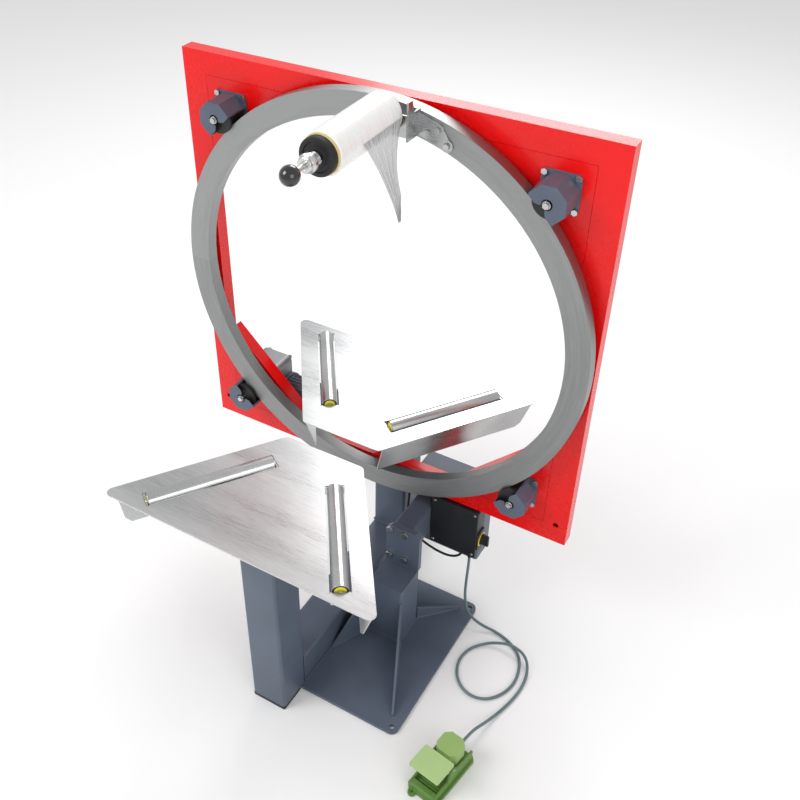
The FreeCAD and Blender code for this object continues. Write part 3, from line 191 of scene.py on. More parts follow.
def new_piece(name, edit, material, body, smooth=40.0):
    """Links a bmesh as a finished piece that rides on a body."""
    bmesh.ops.remove_doubles(edit, verts=edit.verts, dist=1e-6)
    bmesh.ops.recalc_face_normals(edit, faces=edit.faces)
    mesh = bpy.data.meshes.new(name)
    edit.to_mesh(mesh)
    edit.free()
    mesh.shade_smooth()
    mesh.set_sharp_from_angle(angle=math.radians(smooth))
    mesh.materials.append(material)
    piece = bpy.data.objects.new(name, mesh)
    bpy.context.scene.collection.objects.link(piece)
    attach(piece, body)
    return piece


def softened(node, material, width):
    """A copy of a CAD node whose edges are eased by a bevel, which takes the node's place."""
    mesh = frame["nodes"][node].data.copy()
    edit = bmesh.new()
    edit.from_mesh(mesh)
    bmesh.ops.remove_doubles(edit, verts=edit.verts, dist=1e-5)
    bmesh.ops.dissolve_degenerate(edit, edges=edit.edges, dist=1e-6)
    bmesh.ops.dissolve_limit(edit, angle_limit=math.radians(0.8), verts=edit.verts, edges=edit.edges)
    edit.to_mesh(mesh)
    edit.free()
    mesh.shade_smooth()
    mesh.set_sharp_from_angle(angle=SHARP_FROM)
    mesh.materials.clear()
    mesh.materials.append(material)
    piece = bpy.data.objects.new(node + "_finished", mesh)
    bpy.context.scene.collection.objects.link(piece)
    bevel = piece.modifiers.new("eased edges", "BEVEL")
    bevel.width = width
    bevel.segments = 2
    bevel.limit_method = "ANGLE"
    bevel.angle_limit = SHARP_FROM
    bevel.harden_normals = True
    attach(piece, body_of_node[node])
    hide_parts(node)
    return piece


def lathed(profile, start, direction, steps=64):
    """A bmesh turned about an axis from (distance along it, radius) pairs."""
    edit = bmesh.new()
    along = Vector(direction).normalized()
    side = along.orthogonal().normalized()
    other = along.cross(side)
    rings = []
    for distance, radius in profile:
        middle = Vector(start) + along * distance
        if radius < 1e-7:
            rings.append([edit.verts.new(middle)])
            continue
        ring = []
        for step in range(steps):
            turn = math.tau * step / steps
            outward = side * math.cos(turn) + other * math.sin(turn)
            ring.append(edit.verts.new(middle + outward * radius))
        rings.append(ring)
    for low, high in zip(rings, rings[1:]):
        for step in range(steps):
            after = (step + 1) % steps
            corners = [low[step % len(low)], low[after % len(low)],
                       high[after % len(high)], high[step % len(high)]]
            corners = list(dict.fromkeys(corners))
            if len(corners) > 2:
                edit.faces.new(corners)
    return edit


# ---- geometry node helpers ---------------------------------------------------------------------------
def new_tree(name, inputs):
    """A geometry node tree with named inputs, its group input node and its group output node."""
    tree = bpy.data.node_groups.new(name, "GeometryNodeTree")
    tree.interface.new_socket("Geometry", in_out="INPUT", socket_type="NodeSocketGeometry")
    for label, kind, value in inputs:
        socket = tree.interface.new_socket(label, in_out="INPUT", socket_type=kind)
        if value is not None:
            socket.default_value = value
    tree.interface.new_socket("Geometry", in_out="OUTPUT", socket_type="NodeSocketGeometry")
    return tree, add(tree, "NodeGroupInput"), add(tree, "NodeGroupOutput")


def end_tree(tree, geometry, source, exit_node):
    """Ends a tree in realised geometry with its material."""
    real = add(tree, "GeometryNodeRealizeInstances", links={"Geometry": geometry})
    painted = add(tree, "GeometryNodeSetMaterial",
                  links={"Geometry": real.outputs[0], "Material": source.outputs["Material"]})
    tree.links.new(painted.outputs[0], exit_node.inputs["Geometry"])


def grown(name, tree, values, body, start=None, smooth=35.0):
    """A plain mesh made by a tree with given input values, as a piece that rides on a body."""
    base = bpy.data.objects.new(name + "_seed", start or bpy.data.meshes.new(name + "_seed"))
    bpy.context.scene.collection.objects.link(base)
    modifier = base.modifiers.new("made", "NODES")
    modifier.node_group = tree
    for item in tree.interface.items_tree:
        if item.in_out == "INPUT" and item.name in values:
            modifier[item.identifier] = values[item.name]
    graph = bpy.context.evaluated_depsgraph_get()
    graph.update()
    mesh = bpy.data.meshes.new_from_object(base.evaluated_get(graph))
    base.modifiers.clear()
    bpy.data.objects.remove(base)
    mesh.name = name
    mesh.shade_smooth()
    mesh.set_sharp_from_angle(angle=math.radians(smooth))
    piece = bpy.data.objects.new(name, mesh)
    bpy.context.scene.collection.objects.link(piece)
    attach(piece, body)
    return piece


def points_mesh(name, places):
    """A mesh of loose points for a tree to set things on."""
    mesh = bpy.data.meshes.new(name)
    mesh.from_pydata([tuple(place) for place in places], [], [])
    return mesh


def path_mesh(name, runs):
    """A mesh of loose edges, one chain for each run of points."""
    vertices = []
    edges = []
    for run in runs:
        for index, place in enumerate(run):
            if index:
                edges.append((len(vertices) - 1, len(vertices)))
            vertices.append(tuple(place))
    mesh = bpy.data.meshes.new(name)
    mesh.from_pydata(vertices, edges, [])
    return mesh


place_camera()


# ---- cables ------------------------------------------------------------------------------------------
# Flexible PVC jacket, extruded: an even grey-green, dull, with the faint waviness of the die.
pvc_jacket = plain_finish("extruded_pvc_jacket", ("#5a6c70", "#74868a"), 900.0, 0.00006, (0.42, 0.55),
                          Specular_IOR_Level=0.4)
# Black rubber-jacketed motor lead, extruded: nearly black with a soft sheen.
rubber_jacket = plain_finish("extruded_rubber_jacket", ("#141516", "#232425"), 1200.0, 0.00005, (0.45, 0.6))

FOOT_CABLE_POINTS = [
    (0.149, 0.269, 0.165), (0.149, 0.269, 0.132), (0.154, 0.251, 0.095), (0.166, 0.220, 0.060),
    (0.186, 0.194, 0.038), (0.213, 0.183, 0.026), (0.245, 0.185, 0.013), (0.280, 0.192, 0.004),
    (0.326, 0.181, 0.004), (0.369, 0.154, 0.004), (0.391, 0.109, 0.004), (0.397, 0.056, 0.004),
    (0.381, 0.006, 0.004), (0.347, -0.030, 0.004), (0.299, -0.035, 0.004), (0.255, -0.003, 0.004),
    (0.234, 0.049, 0.004), (0.242, 0.101, 0.004), (0.276, 0.141, 0.006), (0.312, 0.157, 0.013),
    (0.346, 0.160, 0.022), (0.390, 0.147, 0.022), (0.414, 0.112, 0.010), (0.420, 0.059, 0.004),
    (0.412, 0.002, 0.004), (0.397, -0.050, 0.005), (0.383, -0.096, 0.014), (0.372, -0.132, 0.026),
    (0.3665, -0.160, 0.031), (0.3615, -0.192, 0.032),
]
MOTOR_CABLE_POINTS = [
    (0.126, 0.271, 0.191), (0.126, 0.271, 0.170), (0.112, 0.268, 0.149), (0.084, 0.265, 0.139),
    (0.048, 0.263, 0.143), (0.010, 0.262, 0.155), (-0.026, 0.263, 0.175), (-0.050, 0.269, 0.206),
    (-0.059, 0.281, 0.246), (-0.061, 0.293, 0.296), (-0.065, 0.298, 0.350), (-0.086, 0.298, 0.394),
    (-0.130, 0.297, 0.414), (-0.190, 0.297, 0.417), (-0.245, 0.300, 0.410), (-0.297, 0.317, 0.405),
    (-0.349, 0.339, 0.408), (-0.39736, 0.339, 0.408),
]


def cable(name, points, diameter, material, node):
    """A round cable on one smooth spline, in place of its CAD tube."""
    curve = bpy.data.curves.new(name, "CURVE")
    curve.dimensions = "3D"
    curve.bevel_depth = diameter / 2
    curve.bevel_resolution = 4
    curve.resolution_u = 10
    curve.use_fill_caps = True
    spline = curve.splines.new("NURBS")
    spline.points.add(len(points) - 1)
    for control, place in zip(spline.points, points):
        control.co = (*place, 1.0)
    spline.order_u = 3
    spline.use_endpoint_u = True
    curve.materials.append(material)
    piece = bpy.data.objects.new(name, curve)
    bpy.context.scene.collection.objects.link(piece)
    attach(piece, "stand")
    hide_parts(node)
    return piece


foot_lead = cable("foot_lead", FOOT_CABLE_POINTS, 0.008, pvc_jacket, "foot_cable")
motor_lead = cable("motor_lead", MOTOR_CABLE_POINTS, 0.007, rubber_jacket, "motor_cable")


# ---- finishes ----------------------------------------------------------------------------------------
# Polyester powder coat on welded steel: even satin blue-grey with fine orange peel.
stand_coat = plain_finish("powder_coat_blue_grey", ("#4f5a69", "#5d6878"), 700.0, 0.00006, (0.38, 0.5),
                          Specular_IOR_Level=0.45)
# The same coat on small folded guards, a shade greyer.
guard_coat = plain_finish("powder_coat_slate", ("#4e5768", "#5e6879"), 700.0, 0.00006, (0.35, 0.48))
# Stoved gloss enamel on flat sheet: pure red, mirror-like at a glance, with a long shallow wave.
red_enamel = plain_finish("gloss_enamel_red", ("#e20000", "#ee0202"), 90.0, 0.00003, (0.24, 0.32),
                          Specular_IOR_Level=0.35, Coat_Weight=0.12, Coat_Roughness=0.1)
# Rolled steel ring, dull zinc over mill scale: mottled grey drawn out along the rolling direction.
ring_steel = turned_finish("rolled_galvanised_steel", tuple(RING_CENTRE), ("#8b8c8c", "#a3a4a4"),
                           160.0, 0.00002, (0.36, 0.46), Metallic=1.0)
# Stainless sheet, cold rolled and brushed: bright, with long fine lines. Lines drawn coarse to show.
stainless = streaked_finish("brushed_stainless_sheet", ("#a9aaab", "#d2d3d3"), 420.0, 0.00002,
                            (0.22, 0.36), (0.05, 1.0, 1.0), Metallic=1.0)
# Bright zinc plate on turned and pressed steel: pale, slightly cloudy.
zinc_plate = plain_finish("zinc_plated_steel", ("#b9bab8", "#d9dad7"), 500.0, 0.00002, (0.2, 0.34),
                          Metallic=1.0)
# Turned zinc-plated steel round the film roll's axis: concentric tool marks.
turned_steel = turned_finish("turned_plated_steel", tuple(ROLL_AXIS), ("#b4b5b4", "#dfe0de"), 900.0,
                             0.00002, (0.16, 0.28), along=0.004, Metallic=1.0)
# Ground steel tube of the table rollers: bright, with faint rings left by the centreless grinder.
ground_tube = plain_finish("ground_steel_tube", ("#b0b1b1", "#cccdcd"), 350.0, 0.00001, (0.18, 0.28),
                           Metallic=1.0)
# Cast polyamide rollers: black with a waxy sheen.
cast_nylon = plain_finish("cast_polyamide_black", ("#141414", "#222222"), 400.0, 0.00005, (0.4, 0.55))
# Phenolic ball knob, pressed and polished: deep black gloss.
phenolic = plain_finish("polished_phenolic_black", ("#050505", "#0b0b0b"), 300.0, 0.000005, (0.06, 0.12),
                        Coat_Weight=0.8, Coat_Roughness=0.05)
# Moulded ABS, spark-eroded texture: matt black.
moulded_abs = plain_finish("moulded_abs_black", ("#101112", "#1c1d1e"), 1100.0, 0.00008, (0.5, 0.65))
# Nitrile seal, moulded: a flat yellow that dusts over.
nitrile_yellow = plain_finish("moulded_nitrile_yellow", ("#d9cf2c", "#efe24a"), 800.0, 0.00004, (0.5, 0.62))
# Structured enamel of the control box: nearly black with a fine wrinkle.
box_enamel = plain_finish("structured_enamel_black", ("#17181a", "#24262a"), 1300.0, 0.00009, (0.4, 0.52))
# Moulded polycarbonate of the switch, in black and in signal yellow.
switch_black = plain_finish("moulded_polycarbonate_black", ("#26282a", "#34363a"), 900.0, 0.00004,
                            (0.4, 0.5))
signal_yellow = plain_finish("moulded_polycarbonate_yellow", ("#e0c400", "#edd21a"), 900.0, 0.00004,
                             (0.35, 0.45))
# Stoved green enamel on a cast housing: pale for the tread, darker for the base.
tread_green = plain_finish("hammer_enamel_pale_green", ("#9ab873", "#adc888"), 420.0, 0.00012, (0.4, 0.52))
cap_green = plain_finish("hammer_enamel_green", ("#86a85a", "#97b66c"), 420.0, 0.00012, (0.38, 0.5))
base_green = plain_finish("hammer_enamel_dark_green", ("#4f7430", "#6a9044"), 420.0, 0.00012, (0.4, 0.55))
# Sand-cast aluminium gearbox: pale grey with a coarse skin.
cast_aluminium = plain_finish("sand_cast_aluminium", ("#84878a", "#a0a3a5"), 350.0, 0.00018, (0.45, 0.6),
                              Metallic=0.9)
# Air-drying machine enamel on the motor.
motor_enamel = plain_finish("machine_enamel_grey", ("#4b525c", "#59616c"), 300.0, 0.00008, (0.38, 0.5))
# Spiral-wound kraft board of the core, cut square: straw with a darker edge.
kraft_board = turned_finish("wound_kraft_board", tuple(ROLL_AXIS), ("#b98f4e", "#e6cf95"), 1500.0,
                            0.0001, (0.7, 0.85), along=0.01)
# Weld beads under the coat: the stand's colour, rippled by their own shape.
weld_coat = plain_finish("powder_coat_on_weld", ("#4a5462", "#586373"), 500.0, 0.0001, (0.4, 0.52))


def wound_film_finish():
    """Blown polyethylene film wound on a core: milky white with fine rings and a wet sheen."""
    material, tree, shader = start_material(
        "wound_polyethylene_film", Subsurface_Weight=0.25, Subsurface_Scale=0.01, Coat_Weight=0.35,
        Coat_Roughness=0.12)
    place = add(tree, "ShaderNodeTexCoord").outputs["Object"]
    rings = add(tree, "ShaderNodeMapping", {"Scale": (0.02, 1.0, 0.02)}, {"Vector": place})
    fine = add(tree, "ShaderNodeTexNoise", {"Scale": 900.0, "Detail": 4.0}, {"Vector": rings.outputs[0]})
    broad = add(tree, "ShaderNodeTexNoise", {"Scale": 90.0, "Detail": 3.0}, {"Vector": rings.outputs[0]})
    total = add(tree, "ShaderNodeMath", {"operation": "ADD"},
                {0: fine.outputs["Fac"], 1: broad.outputs["Fac"]})
    ramp = add(tree, "ShaderNodeValToRGB", links={"Fac": fine.outputs["Fac"]})
    ramp.color_ramp.elements[0].color = linear("#dcdddc")
    ramp.color_ramp.elements[0].position = 0.3
    ramp.color_ramp.elements[1].color = linear("#f8f8f6")
    ramp.color_ramp.elements[1].position = 0.55
    dull = add(tree, "ShaderNodeMapRange", {"To Min": 0.22, "To Max": 0.42},
               {"Value": broad.outputs["Fac"]})
    bump = add(tree, "ShaderNodeBump", {"Distance": 0.00012}, {"Height": total.outputs[0]})
    tree.links.new(ramp.outputs[0], shader.inputs["Base Color"])
    tree.links.new(dull.outputs[0], shader.inputs["Roughness"])
    tree.links.new(bump.outputs[0], shader.inputs["Normal"])
    return material


def loose_film_finish():
    """One loose layer of stretch film: clear, with creases that run down its length, and painted shade that
    greys the crease valleys.
    """
    material, tree, shader = start_material(
        "creased_polyethylene_film", Coat_Weight=0.3, Coat_Roughness=0.1, IOR=1.5)
    place = add(tree, "ShaderNodeUVMap", {"uv_map": "drop"}).outputs[0]
    drawn = add(tree, "ShaderNodeMapping", {"Scale": (46.0, 3.0, 1.0)}, {"Vector": place})
    crease = add(tree, "ShaderNodeTexNoise", {"Scale": 1.0, "Detail": 6.0, "Roughness": 0.65,
                                              "Distortion": 0.6}, {"Vector": drawn.outputs[0]})
    # Painted shade: the crease valleys are painted dark grey and the crests a paler grey.
    ramp = add(tree, "ShaderNodeValToRGB", links={"Fac": crease.outputs["Fac"]})
    ramp.color_ramp.elements[0].color = linear("#77797b")
    ramp.color_ramp.elements[0].position = 0.35
    ramp.color_ramp.elements[1].color = linear("#d8dadb")
    ramp.color_ramp.elements[1].position = 0.62
    cover = add(tree, "ShaderNodeMapRange", {"From Min": 0.32, "From Max": 0.62, "To Min": 0.5,
                                             "To Max": 0.95}, {"Value": crease.outputs["Fac"]})
    bump = add(tree, "ShaderNodeBump", {"Distance": 0.0012}, {"Height": crease.outputs["Fac"]})
    dull = add(tree, "ShaderNodeMapRange", {"To Min": 0.12, "To Max": 0.32},
               {"Value": crease.outputs["Fac"]})
    tree.links.new(ramp.outputs[0], shader.inputs["Base Color"])
    tree.links.new(cover.outputs[0], shader.inputs["Alpha"])
    tree.links.new(dull.outputs[0], shader.inputs["Roughness"])
    tree.links.new(bump.outputs[0], shader.inputs["Normal"])
    return material


wound_film = wound_film_finish()
loose_film = loose_film_finish()

# ---- CAD pieces with eased edges ---------------------------------------------------------------------
EASED = {
    "base_plate": (stand_coat, 0.0012), "low_beam": (stand_coat, 0.0008),
    "front_post": (stand_coat, 0.0008), "rear_post": (stand_coat, 0.0008),
    "post_top_plates": (stand_coat, 0.001),
    "plastic_end_pads": (moulded_abs, 0.0012), "column": (stand_coat, 0.0008),
    "column_gussets": (stand_coat, 0.0008), "flange_plates": (stand_coat, 0.0008),
    "rear_arm": (stand_coat, 0.0008), "rear_upright": (stand_coat, 0.0008),
    "frame_bolts": (zinc_plate, 0.0005), "panel_frame": (red_enamel, 0.0011),
    "corner_plates": (red_enamel, 0.0009), "ring": (ring_steel, 0.0024),
    "guide_axles": (zinc_plate, 0.0004),
    "roller_guards": (guard_coat, 0.0006), "guard_bolts": (zinc_plate, 0.0004),
    "gearbox": (cast_aluminium, 0.002), "drive_shaft": (zinc_plate, 0.0004),
    "drive_motor": (motor_enamel, 0.0015), "front_table": (stainless, 0.0006),
    "rear_table": (stainless, 0.0006), "table_roller_shafts": (zinc_plate, 0.0005),
    "table_roller_brackets": (stainless, 0.0005), "film_bracket": (stainless, 0.0007),
    "film_bracket_bolts": (zinc_plate, 0.0004), "spindle": (turned_steel, 0.0006),
    "film_core": (kraft_board, 0.0004), "rear_flange": (moulded_abs, 0.001),
    "control_box": (box_enamel, 0.001), "control_box_lid": (box_enamel, 0.0014),
    "main_switch_plate": (switch_black, 0.0014), "main_switch_knob": (moulded_abs, 0.0012),
    "cable_glands": (moulded_abs, 0.0009), "foot_cable_relief": (moulded_abs, 0.0007),
    "foot_switch_base": (base_green, 0.0016), "foot_switch_cap": (cap_green, 0.003),
    "foot_pedal": (tread_green, 0.0016), "pedal_pin": (zinc_plate, 0.0006),
}
for guide in ("upper_right", "upper_left", "drive", "lower_right"):
    EASED["guide_roller_" + guide] = (cast_nylon, 0.0009)
for place in TABLE_PLACES:
    EASED["table_roller_" + place] = (ground_tube, 0.0005)
for node, (material, width) in EASED.items():
    softened(node, material, width)


# ---- film roll and its holder ------------------------------------------------------------------------
def film_roll():
    """Wound film: a slightly uneven face, with the layers' edges showing at both ends."""
    back = CORE_BACK_Y - 0.005
    front = CORE_FRONT_Y + 0.005
    rng = random.Random(4)
    profile = [(0.0, CORE_OUTSIDE), (0.0, FILM_EDGE_RADIUS), (FILM_SHOULDER, FILM_SHOULDER_RADIUS)]
    length = back - front
    steps = 46
    for step in range(steps + 1):
        along = 0.0022 + (length - 0.0044) * step / steps
        profile.append((along, FILM_RADIUS - 0.00004 - rng.uniform(0.0, 0.00028)))
    profile += [(length - FILM_SHOULDER, FILM_SHOULDER_RADIUS), (length, FILM_EDGE_RADIUS),
                (length, CORE_OUTSIDE)]
    start = (ROLL_AXIS.x, front, ROLL_AXIS.z)
    piece = new_piece("wound_roll", lathed(profile, start, (0, 1, 0), 96), wound_film, "film_spool", 50)
    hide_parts("film_roll")
    return piece


def front_disc():
    """Moulded disc in front of the core, with a stepped face and a plug inside the core."""
    start = (ROLL_AXIS.x, DISC_FRONT_Y, ROLL_AXIS.z)
    profile = [
        (0.033, 0.0092), (0.033, 0.0365), (0.031, 0.0379), (0.0151, 0.0379), (0.0151, 0.0398),
        (0.0125, 0.04), (0.003, 0.04), (0.0008, 0.0392), (0.0, 0.0372), (0.0, 0.031), (0.0022, 0.0298),
        (0.0022, 0.0215), (0.0002, 0.0203), (0.0, 0.0185), (0.0, 0.0092), (0.033, 0.0092),
    ]
    piece = new_piece("front_disc", lathed(profile, start, (0, 1, 0), 72), moulded_abs, "film_spool", 30)
    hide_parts("front_flange")


def coil_spring():
    """Brake spring wound from round wire between the front disc and the nut."""
    tree, entry, exit_node = new_tree("wound spring", [
        ("Coil radius", "NodeSocketFloat", 0.013), ("Wire radius", "NodeSocketFloat", 0.0014),
        ("Turns", "NodeSocketFloat", 5.0), ("Length", "NodeSocketFloat", 0.017),
        ("Foot", "NodeSocketVector", None), ("Material", "NodeSocketMaterial", None)])
    spiral = add(tree, "GeometryNodeCurveSpiral", {"Resolution": 28}, {
        "Rotations": entry.outputs["Turns"], "Start Radius": entry.outputs["Coil radius"],
        "End Radius": entry.outputs["Coil radius"], "Height": entry.outputs["Length"]})
    wire = add(tree, "GeometryNodeCurvePrimitiveCircle", {"mode": "RADIUS", "Resolution": 12},
               {"Radius": entry.outputs["Wire radius"]})
    coil = add(tree, "GeometryNodeCurveToMesh", {"Fill Caps": True},
               {"Curve": spiral.outputs[0], "Profile Curve": wire.outputs[0]})
    placed = add(tree, "GeometryNodeTransform", {"Rotation": (math.radians(-90), 0, 0)},
                 {"Geometry": coil.outputs[0], "Translation": entry.outputs["Foot"]})
    end_tree(tree, placed.outputs[0], entry, exit_node)
    piece = grown("brake_spring_coil", tree, {
        "Foot": (ROLL_AXIS.x, SPRING_FRONT_Y + 0.0015, ROLL_AXIS.z), "Material": zinc_plate}, "ring")
    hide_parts("brake_spring")


def brake_nut():
    """Turned nut: a bevelled collar, a groove, and a smaller smooth step in front."""
    start = (ROLL_AXIS.x, NUT_FRONT_Y, ROLL_AXIS.z)
    profile = [
        (0.02, 0.0062), (0.02, 0.0188), (0.0188, 0.02), (0.0106, 0.02), (0.0092, 0.0182), (0.0084, 0.0168),
        (0.0072, 0.0156), (0.0062, 0.016), (0.0012, 0.016), (0.0, 0.0146), (0.0, 0.009), (0.0012, 0.0074),
        (0.0012, 0.0062), (0.02, 0.0062),
    ]
    piece = new_piece("brake_nut", lathed(profile, start, (0, 1, 0), 80), turned_steel, "clamp_nut", 28)
    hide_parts("clamp_nut")


def ball():
    """Pressed ball knob with a short neck."""
    profile = [(0.0, 0.0)]
    steps = 26
    neck = math.asin(0.0082 / KNOB_RADIUS)
    for step in range(1, steps + 1):
        turn = (math.pi - neck) * step / steps
        profile.append((KNOB_RADIUS * (1 - math.cos(turn)), KNOB_RADIUS * math.sin(turn)))
    profile += [(0.041, 0.008), (0.0427, 0.0078), (0.0433, 0.0072), (0.0433, 0.0061)]
    start = (ROLL_AXIS.x, KNOB_Y - KNOB_RADIUS, ROLL_AXIS.z)
    piece = new_piece("ball_knob_polished", lathed(profile, start, (0, 1, 0), 64), phenolic, "ring", 40)
    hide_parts("ball_knob")


def loose_film_tail():
    """The film's loose end: one thin creased layer that hangs from the roll and gathers to a tip."""
    rng = random.Random(11)
    columns = 90
    rows = 90
    waves = [
        (rng.uniform(3, 7), rng.uniform(0, math.tau), 0.5),
        (rng.uniform(8, 14), rng.uniform(0, 6), 0.3),
        (rng.uniform(17, 26), rng.uniform(0, 6), 0.16),
    ]
    edit = bmesh.new()
    layer = edit.loops.layers.uv.new("drop")
    grid = []
    top = ROLL_AXIS.z
    for row in range(rows + 1):
        down = row / rows
        left_y = CORE_BACK_Y - 0.012 - 0.018 * math.sin(math.pi * min(1.0, 1.35 * down)) + 0.004 * down
        right_y = CORE_BACK_Y - 0.160 * (1 - down) ** 1.15 - 0.018 * down
        line = []
        for column in range(columns + 1):
            across = column / columns
            y = left_y + (right_y - left_y) * across
            room = 0.0062 * min(1.0, 3.0 * down) * (1.0 - 0.35 * down)
            fold = 0.0
            for count, phase, share in waves:
                fold += share * math.sin(count * math.tau * across + phase + 2.2 * down)
            x = ROLL_AXIS.x + FILM_RADIUS + 0.0010 + room * (1.0 + fold) * 0.55
            edge = 0.006 * math.sin(9 * across + 1.3) * down
            z = top - 0.234 * down + edge * (1 - down)
            line.append(edit.verts.new((x, y, z)))
        grid.append(line)
    for row in range(rows):
        for column in range(columns):
            face = edit.faces.new((grid[row][column], grid[row][column + 1],
                                   grid[row + 1][column + 1], grid[row + 1][column]))
            for loop, (u, v) in zip(face.loops, ((0, 0), (1, 0), (1, 1), (0, 1))):
                loop[layer].uv = ((column + u) / columns, (row + v) / rows)
    piece = new_piece("film_tail_creased", edit, loose_film, "ring", 180)
    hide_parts("film_tail")


film_roll()
front_disc()
coil_spring()
brake_nut()
ball()
loose_film_tail()


# ---- table roller ends -------------------------------------------------------------------------------
def roller_axis(place):
    """Unit vector along a table roller, away from the table's centre."""
    side, end = TABLE_PLACES[place]
    return Vector((side * math.cos(ROLLER_DIRECTION), end * math.sin(ROLLER_DIRECTION), 0))


def roller_ends(place):
    """Bearing seal in each end of a roller: a black outer race cover and a yellow shield."""
    along = roller_axis(place)
    ends = (("inner", ROLLER_ENDS[0], -along), ("outer", ROLLER_ENDS[1], along))
    for name, distance, outward in ends:
        face = TABLE_CENTRE + along * distance
        cover = [(-0.012, 0.0062), (-0.012, 0.0178), (-0.0016, 0.0178), (-0.0009, 0.0172),
                 (-0.0009, 0.0148), (-0.0016, 0.0142), (-0.004, 0.0142), (-0.004, 0.0062), (-0.012, 0.0062)]
        new_piece("roller_race_" + place + "_" + name, lathed(cover, face, outward, 56), moulded_abs,
                  "table_roller_" + place, 30)
        shield = [(-0.0035, 0.0062), (-0.0035, 0.014), (-0.0010, 0.014), (-0.0002, 0.0132),
                  (0.0004, 0.0108), (0.0004, 0.0088), (-0.0004, 0.008), (-0.0004, 0.0062), (-0.0035, 0.0062)]
        piece = new_piece("roller_shield_" + place + "_" + name, lathed(shield, face, outward, 56),
                          nitrile_yellow, "table_roller_" + place, 30)
        if name == "outer":
            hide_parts("roller_caps_" + place)


for place in TABLE_PLACES:
    roller_ends(place)


# ---- repeated details --------------------------------------------------------------------------------
def set_heads(name, places, turn, radius, height, material, body, sides=32):
    """Small heads, round or six-sided, set on points with their tops towards a direction."""
    tree, entry, exit_node = new_tree("set heads " + name, [
        ("Sides", "NodeSocketInt", 32), ("Radius", "NodeSocketFloat", 0.004),
        ("Top radius", "NodeSocketFloat", 0.003), ("Height", "NodeSocketFloat", 0.003),
        ("Turn", "NodeSocketVector", None), ("Material", "NodeSocketMaterial", None)])
    head = add(tree, "GeometryNodeMeshCone", links={
        "Vertices": entry.outputs["Sides"], "Radius Bottom": entry.outputs["Radius"],
        "Radius Top": entry.outputs["Top radius"], "Depth": entry.outputs["Height"]})
    placed = add(tree, "GeometryNodeInstanceOnPoints", links={
        "Points": entry.outputs["Geometry"], "Instance": head.outputs["Mesh"],
        "Rotation": entry.outputs["Turn"]})
    end_tree(tree, placed.outputs[0], entry, exit_node)
    return grown(name, tree, {
        "Sides": sides, "Radius": radius, "Top radius": radius * 0.8, "Height": height, "Turn": turn,
        "Material": material}, body, points_mesh(name + "_places", places))


def weld_beads(name, runs, radius, body):
    """Weld beads along runs of points, swollen and pinched as the weld was laid."""
    tree, entry, exit_node = new_tree("weld bead " + name, [
        ("Radius", "NodeSocketFloat", 0.003), ("Step", "NodeSocketFloat", 0.002),
        ("Ripple", "NodeSocketFloat", 0.0009), ("Material", "NodeSocketMaterial", None)])
    line = add(tree, "GeometryNodeMeshToCurve", links={"Mesh": entry.outputs["Geometry"]})
    fine = add(tree, "GeometryNodeResampleCurve", {"mode": "LENGTH"}, {
        "Curve": line.outputs[0], "Length": entry.outputs["Step"]})
    section = add(tree, "GeometryNodeCurvePrimitiveCircle", {"Resolution": 8},
                  {"Radius": entry.outputs["Radius"]})
    tube = add(tree, "GeometryNodeCurveToMesh", {"Fill Caps": True},
               {"Curve": fine.outputs[0], "Profile Curve": section.outputs[0]})
    wave = add(tree, "ShaderNodeTexNoise", {"Scale": 170.0, "Detail": 2.0})
    level = add(tree, "ShaderNodeMath", {"operation": "SUBTRACT", 1: 0.5}, {0: wave.outputs["Fac"]})
    swell = add(tree, "ShaderNodeMath", {"operation": "MULTIPLY"},
                {0: level.outputs[0], 1: entry.outputs["Ripple"]})
    normal = add(tree, "GeometryNodeInputNormal")
    push = add(tree, "ShaderNodeVectorMath", {"operation": "SCALE"},
               {0: normal.outputs[0], "Scale": swell.outputs[0]})
    rippled = add(tree, "GeometryNodeSetPosition", links={
        "Geometry": tube.outputs[0], "Offset": push.outputs[0]})
    end_tree(tree, rippled.outputs[0], entry, exit_node)
    return grown(name, tree, {"Radius": radius, "Ripple": 0.0018, "Material": weld_coat}, body,
                 path_mesh(name + "_runs", runs), 60)


def level_loop(x, y, z):
    """Closed run of points round a level rectangle."""
    corners = [(x[0], y[0], z), (x[1], y[0], z), (x[1], y[1], z), (x[0], y[1], z)]
    return corners + [corners[0]]


def upright_loop(x, y, z):
    """Closed run of points round an upright rectangle that faces along Y."""
    corners = [(x[0], y, z[0]), (x[1], y, z[0]), (x[1], y, z[1]), (x[0], y, z[1])]
    return corners + [corners[0]]


PLATE_TOP = 0.010
POST_X = (-0.186, -0.086)
POST_TOP = 0.645
BEAM_TOP = 0.110
weld_beads("stand_welds", [
    level_loop((-0.031, 0.069), (0.017, 0.117), PLATE_TOP),
    [(POST_X[1], -0.224, PLATE_TOP), (POST_X[1], 0.244, PLATE_TOP)],
    [(POST_X[0], 0.244, PLATE_TOP), (POST_X[0], -0.224, PLATE_TOP)],
    upright_loop(POST_X, -0.225, (0.012, BEAM_TOP)),
    level_loop(POST_X, (0.309, 0.408), BEAM_TOP),
    level_loop(POST_X, (-0.325, -0.225), POST_TOP),
    level_loop(POST_X, (0.309, 0.409), POST_TOP),
    [(-0.031, 0.109, 0.213), (0.069, 0.109, 0.213)],
    upright_loop((-0.026, 0.034), 0.125, (0.230, 0.325)),
], 0.0026, "stand")
weld_beads("gusset_welds", [
    [(0.069, 0.016, PLATE_TOP), (0.1675, -0.198, PLATE_TOP)],
    [(0.069, 0.117, PLATE_TOP), (0.156, 0.211, PLATE_TOP)],
    [(-0.030, 0.017, PLATE_TOP), (-0.0835, -0.095, PLATE_TOP)],
    [(-0.030, 0.117, PLATE_TOP), (-0.0832, 0.176, PLATE_TOP)],
], 0.005, "stand")
FACING_FRONT = (math.radians(90), 0, 0)
FACING_BACK = (math.radians(-90), 0, 0)
